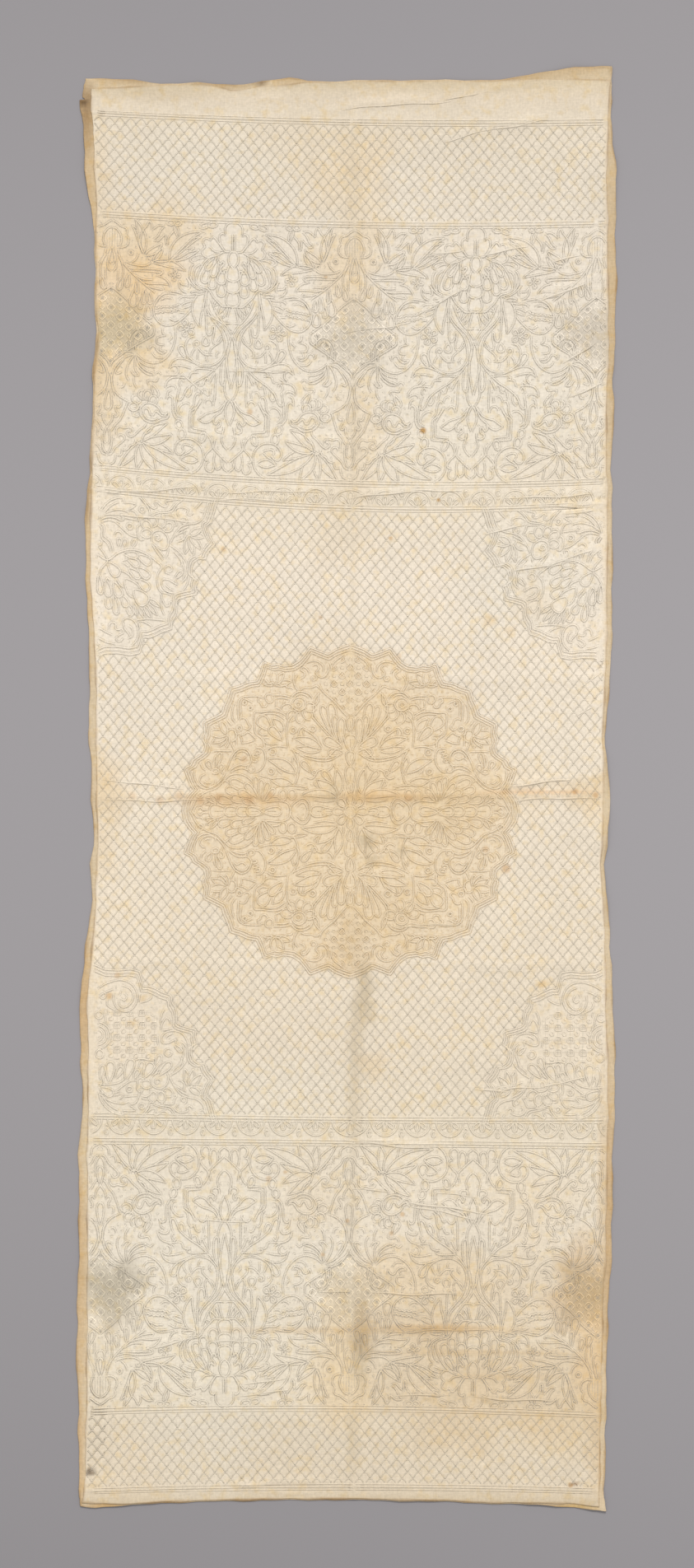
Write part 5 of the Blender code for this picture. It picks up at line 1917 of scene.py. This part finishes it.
    def stitches(self, name: str, strokes: list[Stroke], finish: ThreadFinish) -> bpy.types.Object:
        """One mesh of short stitches beside the corded lines and along the seams.

        Args:
            name: the piece's name.
            strokes: the lines, already cut to the cloth.
            finish: the thread's finish.

        Returns:
            The new object.
        """
        pitch = self.stitch_length + self.stitch_gap
        spots, headings, widths = [], [], []
        for stroke in strokes:
            if stroke.line in (Line.BARE, Line.PALE):
                continue
            offsets = (-self.row_offset, self.row_offset) if stroke.line is Line.CORD else (0.0,)
            width = self.stitch_width if stroke.line is Line.CORD else self.seam_width
            fine = resampled(stroke.path, 1.2)
            normal = 1j * np.gradient(fine)
            normal /= np.abs(normal) + 1e-9
            for offset in offsets:
                row = resampled(fine + normal * offset, pitch)
                spots.append((row[:-1] + row[1:]) / 2)
                headings.append(np.diff(row))
                widths.append(np.full(len(row) - 1, width))
        spot, heading, width = (np.concatenate(part) for part in (spots, headings, widths))
        heading = heading / (np.abs(heading) + 1e-9)
        uneven = np.random.default_rng(SEED + len(spot))
        spot = spot + 0.16 * (uneven.standard_normal(len(spot)) + 1j * uneven.standard_normal(len(spot)))
        heading = heading * np.exp(1j * 0.10 * uneven.standard_normal(len(spot)))
        half = heading * self.stitch_length / 2 * uneven.uniform(0.8, 1.1, len(spot))
        side = 1j * heading * width / 2 * uneven.uniform(0.55, 1.3, len(spot))
        corners = [self.points(spot + ends + edge, self.stitch_lift)
                   for ends, edge in ((-half, -side), (half, -side), (half, side), (-half, side))]
        points = np.stack(corners, axis=1).reshape(-1, 3)
        piece = mesh_object(name, points, np.arange(len(points)).reshape(-1, 4))
        piece.data.materials.append(finish.material())
        return piece


@dataclass
class Bedcover:
    """The whole panel: two cloths, the cording between them, and the sewing."""

    design: Design = field(default_factory=Design)
    cotton: ClothFinish = ClothFinish(
        "face_cotton", (235, 222, 201), FACE_EDGES, STAINS, washed=True, weave=0.4, rim=3.5
    )
    coarse: ClothFinish = ClothFinish(
        "backing_cotton", (220, 200, 168), BACKING_EDGES, BACK_STAINS, washed=False, weave=0.45, rim=9.0
    )
    row_step: float = 5.3
    column_step: float = 9.6
    coarse_step: float = 14.0

    def grid(self, start: float, end: float, step: float, denser: tuple[float, ...]) -> np.ndarray:
        """Even places with extra ones about some lines, and short borders past both ends."""
        inner = np.linspace(start, end, int((end - start) / step) + 1)
        extra = [line + shift for line in denser for shift in (-4, -2, 0, 2, 4) if start < line + shift < end]
        inner = np.unique(np.round(np.concatenate((inner, extra)), 1))
        past = np.array((0.2, 0.4, 0.6, 0.78, 0.9, 0.96, 1.0))
        return np.concatenate((start - past[::-1], inner, end + past))

    def build(self) -> list[bpy.types.Object]:
        """Makes every piece and sets what it rides on.

        Returns:
            The pieces.
        """
        rows = self.grid(FOOT_LIFTED, HEAD_LIFTED, self.row_step, RULES)
        columns = self.grid(LEFT_LIFTED, RIGHT_LIFTED, self.column_step, (9.0,))
        base = CLOTH_THICKNESS + CLOTH_GAP
        face = Sheet("face_sheet", "face_cloth", FACE_EDGES, base, columns, rows, fray=0.2, puckered=True)
        rows = self.grid(FOOT_LIFTED, HEAD_LIFTED, self.coarse_step, (1060.0,))
        columns = self.grid(LEFT_LIFTED, RIGHT_LIFTED, self.coarse_step, ())
        backing = Sheet("backing_sheet", "backing_cloth", BACKING_EDGES, 0.0, columns, rows, fray=0.5)
        face_piece, backing_piece = face.build(self.cotton), backing.build(self.coarse)
        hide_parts(face.node)
        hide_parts(backing.node)
        fine = Needlework(face)
        soft = Needlework(face, cord_half_width=1.05, row_offset=0.7, stitch_width=0.36)
        straight = Needlework(face, cord_step=6.6)
        trim = [fine.tucks("face_creases", self.cotton)]
        for name, strokes in self.design.parts().items():
            scales = name.endswith("scales")
            work = soft if scales else straight if name == "ruled" else fine
            kept = [run for stroke in strokes for run in work.on_cloth(stroke)]
            shade = 0.965 if scales else 1.0
            trim.append(work.cords(f"{name}_cords", kept, self.cotton, shade))
            trim.append(work.stitches(f"{name}_stitches", kept, THREADS.get(name, GREY_THREAD)))
        pieces = [face_piece, backing_piece, *trim]
        for piece in pieces:
            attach(piece, "root")
            log.info("%s: %d faces", piece.name, len(piece.data.polygons))
        return pieces


@dataclass
class Studio:
    """The floor, the soft light and the camera straight above."""

    frame_height: float = 2.418
    middle: tuple[float, float] = (0.0006, 0.0083)
    camera_height: float = 6.0
    sensor: float = 24.0
    floor_color: tuple[float, float, float] = (165, 161, 163)
    light: float = 1.12

    def floor(self) -> None:
        """A pale floor, a hair under the cloth, its colour carrying painted light falloff: darker towards
        both ends of the panel, most at the foot, and lighter to the right.
        """
        bpy.ops.mesh.primitive_plane_add(size=16, location=(0, 0, -0.0002))
        floor = bpy.context.object
        floor.name = "floor"
        shader = Shader("floor_with_painted_falloff")
        place = shader.node("ShaderNodeTexCoord").output("Object")
        across = shader.node("ShaderNodeSeparateXYZ", {}, {"Vector": place})
        # Painted light falloff: the colour darkens along the panel away from its middle, most towards the
        # foot, and lightens to the right.
        along_it = (across.output("Y") - 0.1) * 0.91
        near = shader.clamped(along_it, -1.3, 1.1)
        side = shader.clamped(across.output("X"), -0.6, 0.6)
        color = shader.node("ShaderNodeRGB", {}, {})
        color.node.outputs["Color"].default_value = (*(linear(*self.floor_color) / self.light), 1.0)
        shader.base_color(color.output("Color"), 1.0 + near * 0.03 - near * near * 0.108 + side * 0.055)
        shader.plain({"Roughness": 0.95, "Specular IOR Level": 0.1})
        floor.data.materials.append(shader.material)

    def lamps(self) -> None:
        """A broad soft key from the head end, and an even sky."""
        key = bpy.data.lights.new("key", "SUN")
        key.energy = 2.0
        key.angle = math.radians(18)
        lamp = bpy.data.objects.new("key", key)
        lamp.rotation_euler = (math.radians(-50), 0, math.radians(-8))
        bpy.context.scene.collection.objects.link(lamp)
        world = bpy.data.worlds.new("sky")
        world.use_nodes = True
        world.node_tree.nodes["Background"].inputs["Color"].default_value = (1, 1, 1, 1)
        world.node_tree.nodes["Background"].inputs["Strength"].default_value = 0.7
        bpy.context.scene.world = world

    def camera(self) -> None:
        """The camera, looking straight down with the head end up."""
        lens = bpy.data.cameras.new("camera")
        lens.sensor_fit = "VERTICAL"
        lens.sensor_height = self.sensor
        lens.lens = self.sensor / 2 * self.camera_height / (self.frame_height / 2)
        camera = bpy.data.objects.new("camera", lens)
        camera.location = (*self.middle, self.camera_height)
        bpy.context.scene.collection.objects.link(camera)
        bpy.context.scene.camera = camera
        bpy.context.scene.view_settings.view_transform = "Standard"


def main() -> None:
    """Builds the bedcover and its studio."""
    logging.basicConfig(level=logging.INFO, format="%(name)s: %(message)s")
    for item in bpy.context.selected_objects:
        item.select_set(False)
    studio = Studio()
    studio.camera()
    studio.floor()
    studio.lamps()
    Bedcover().build()


if __name__ == "__main__":
    main()
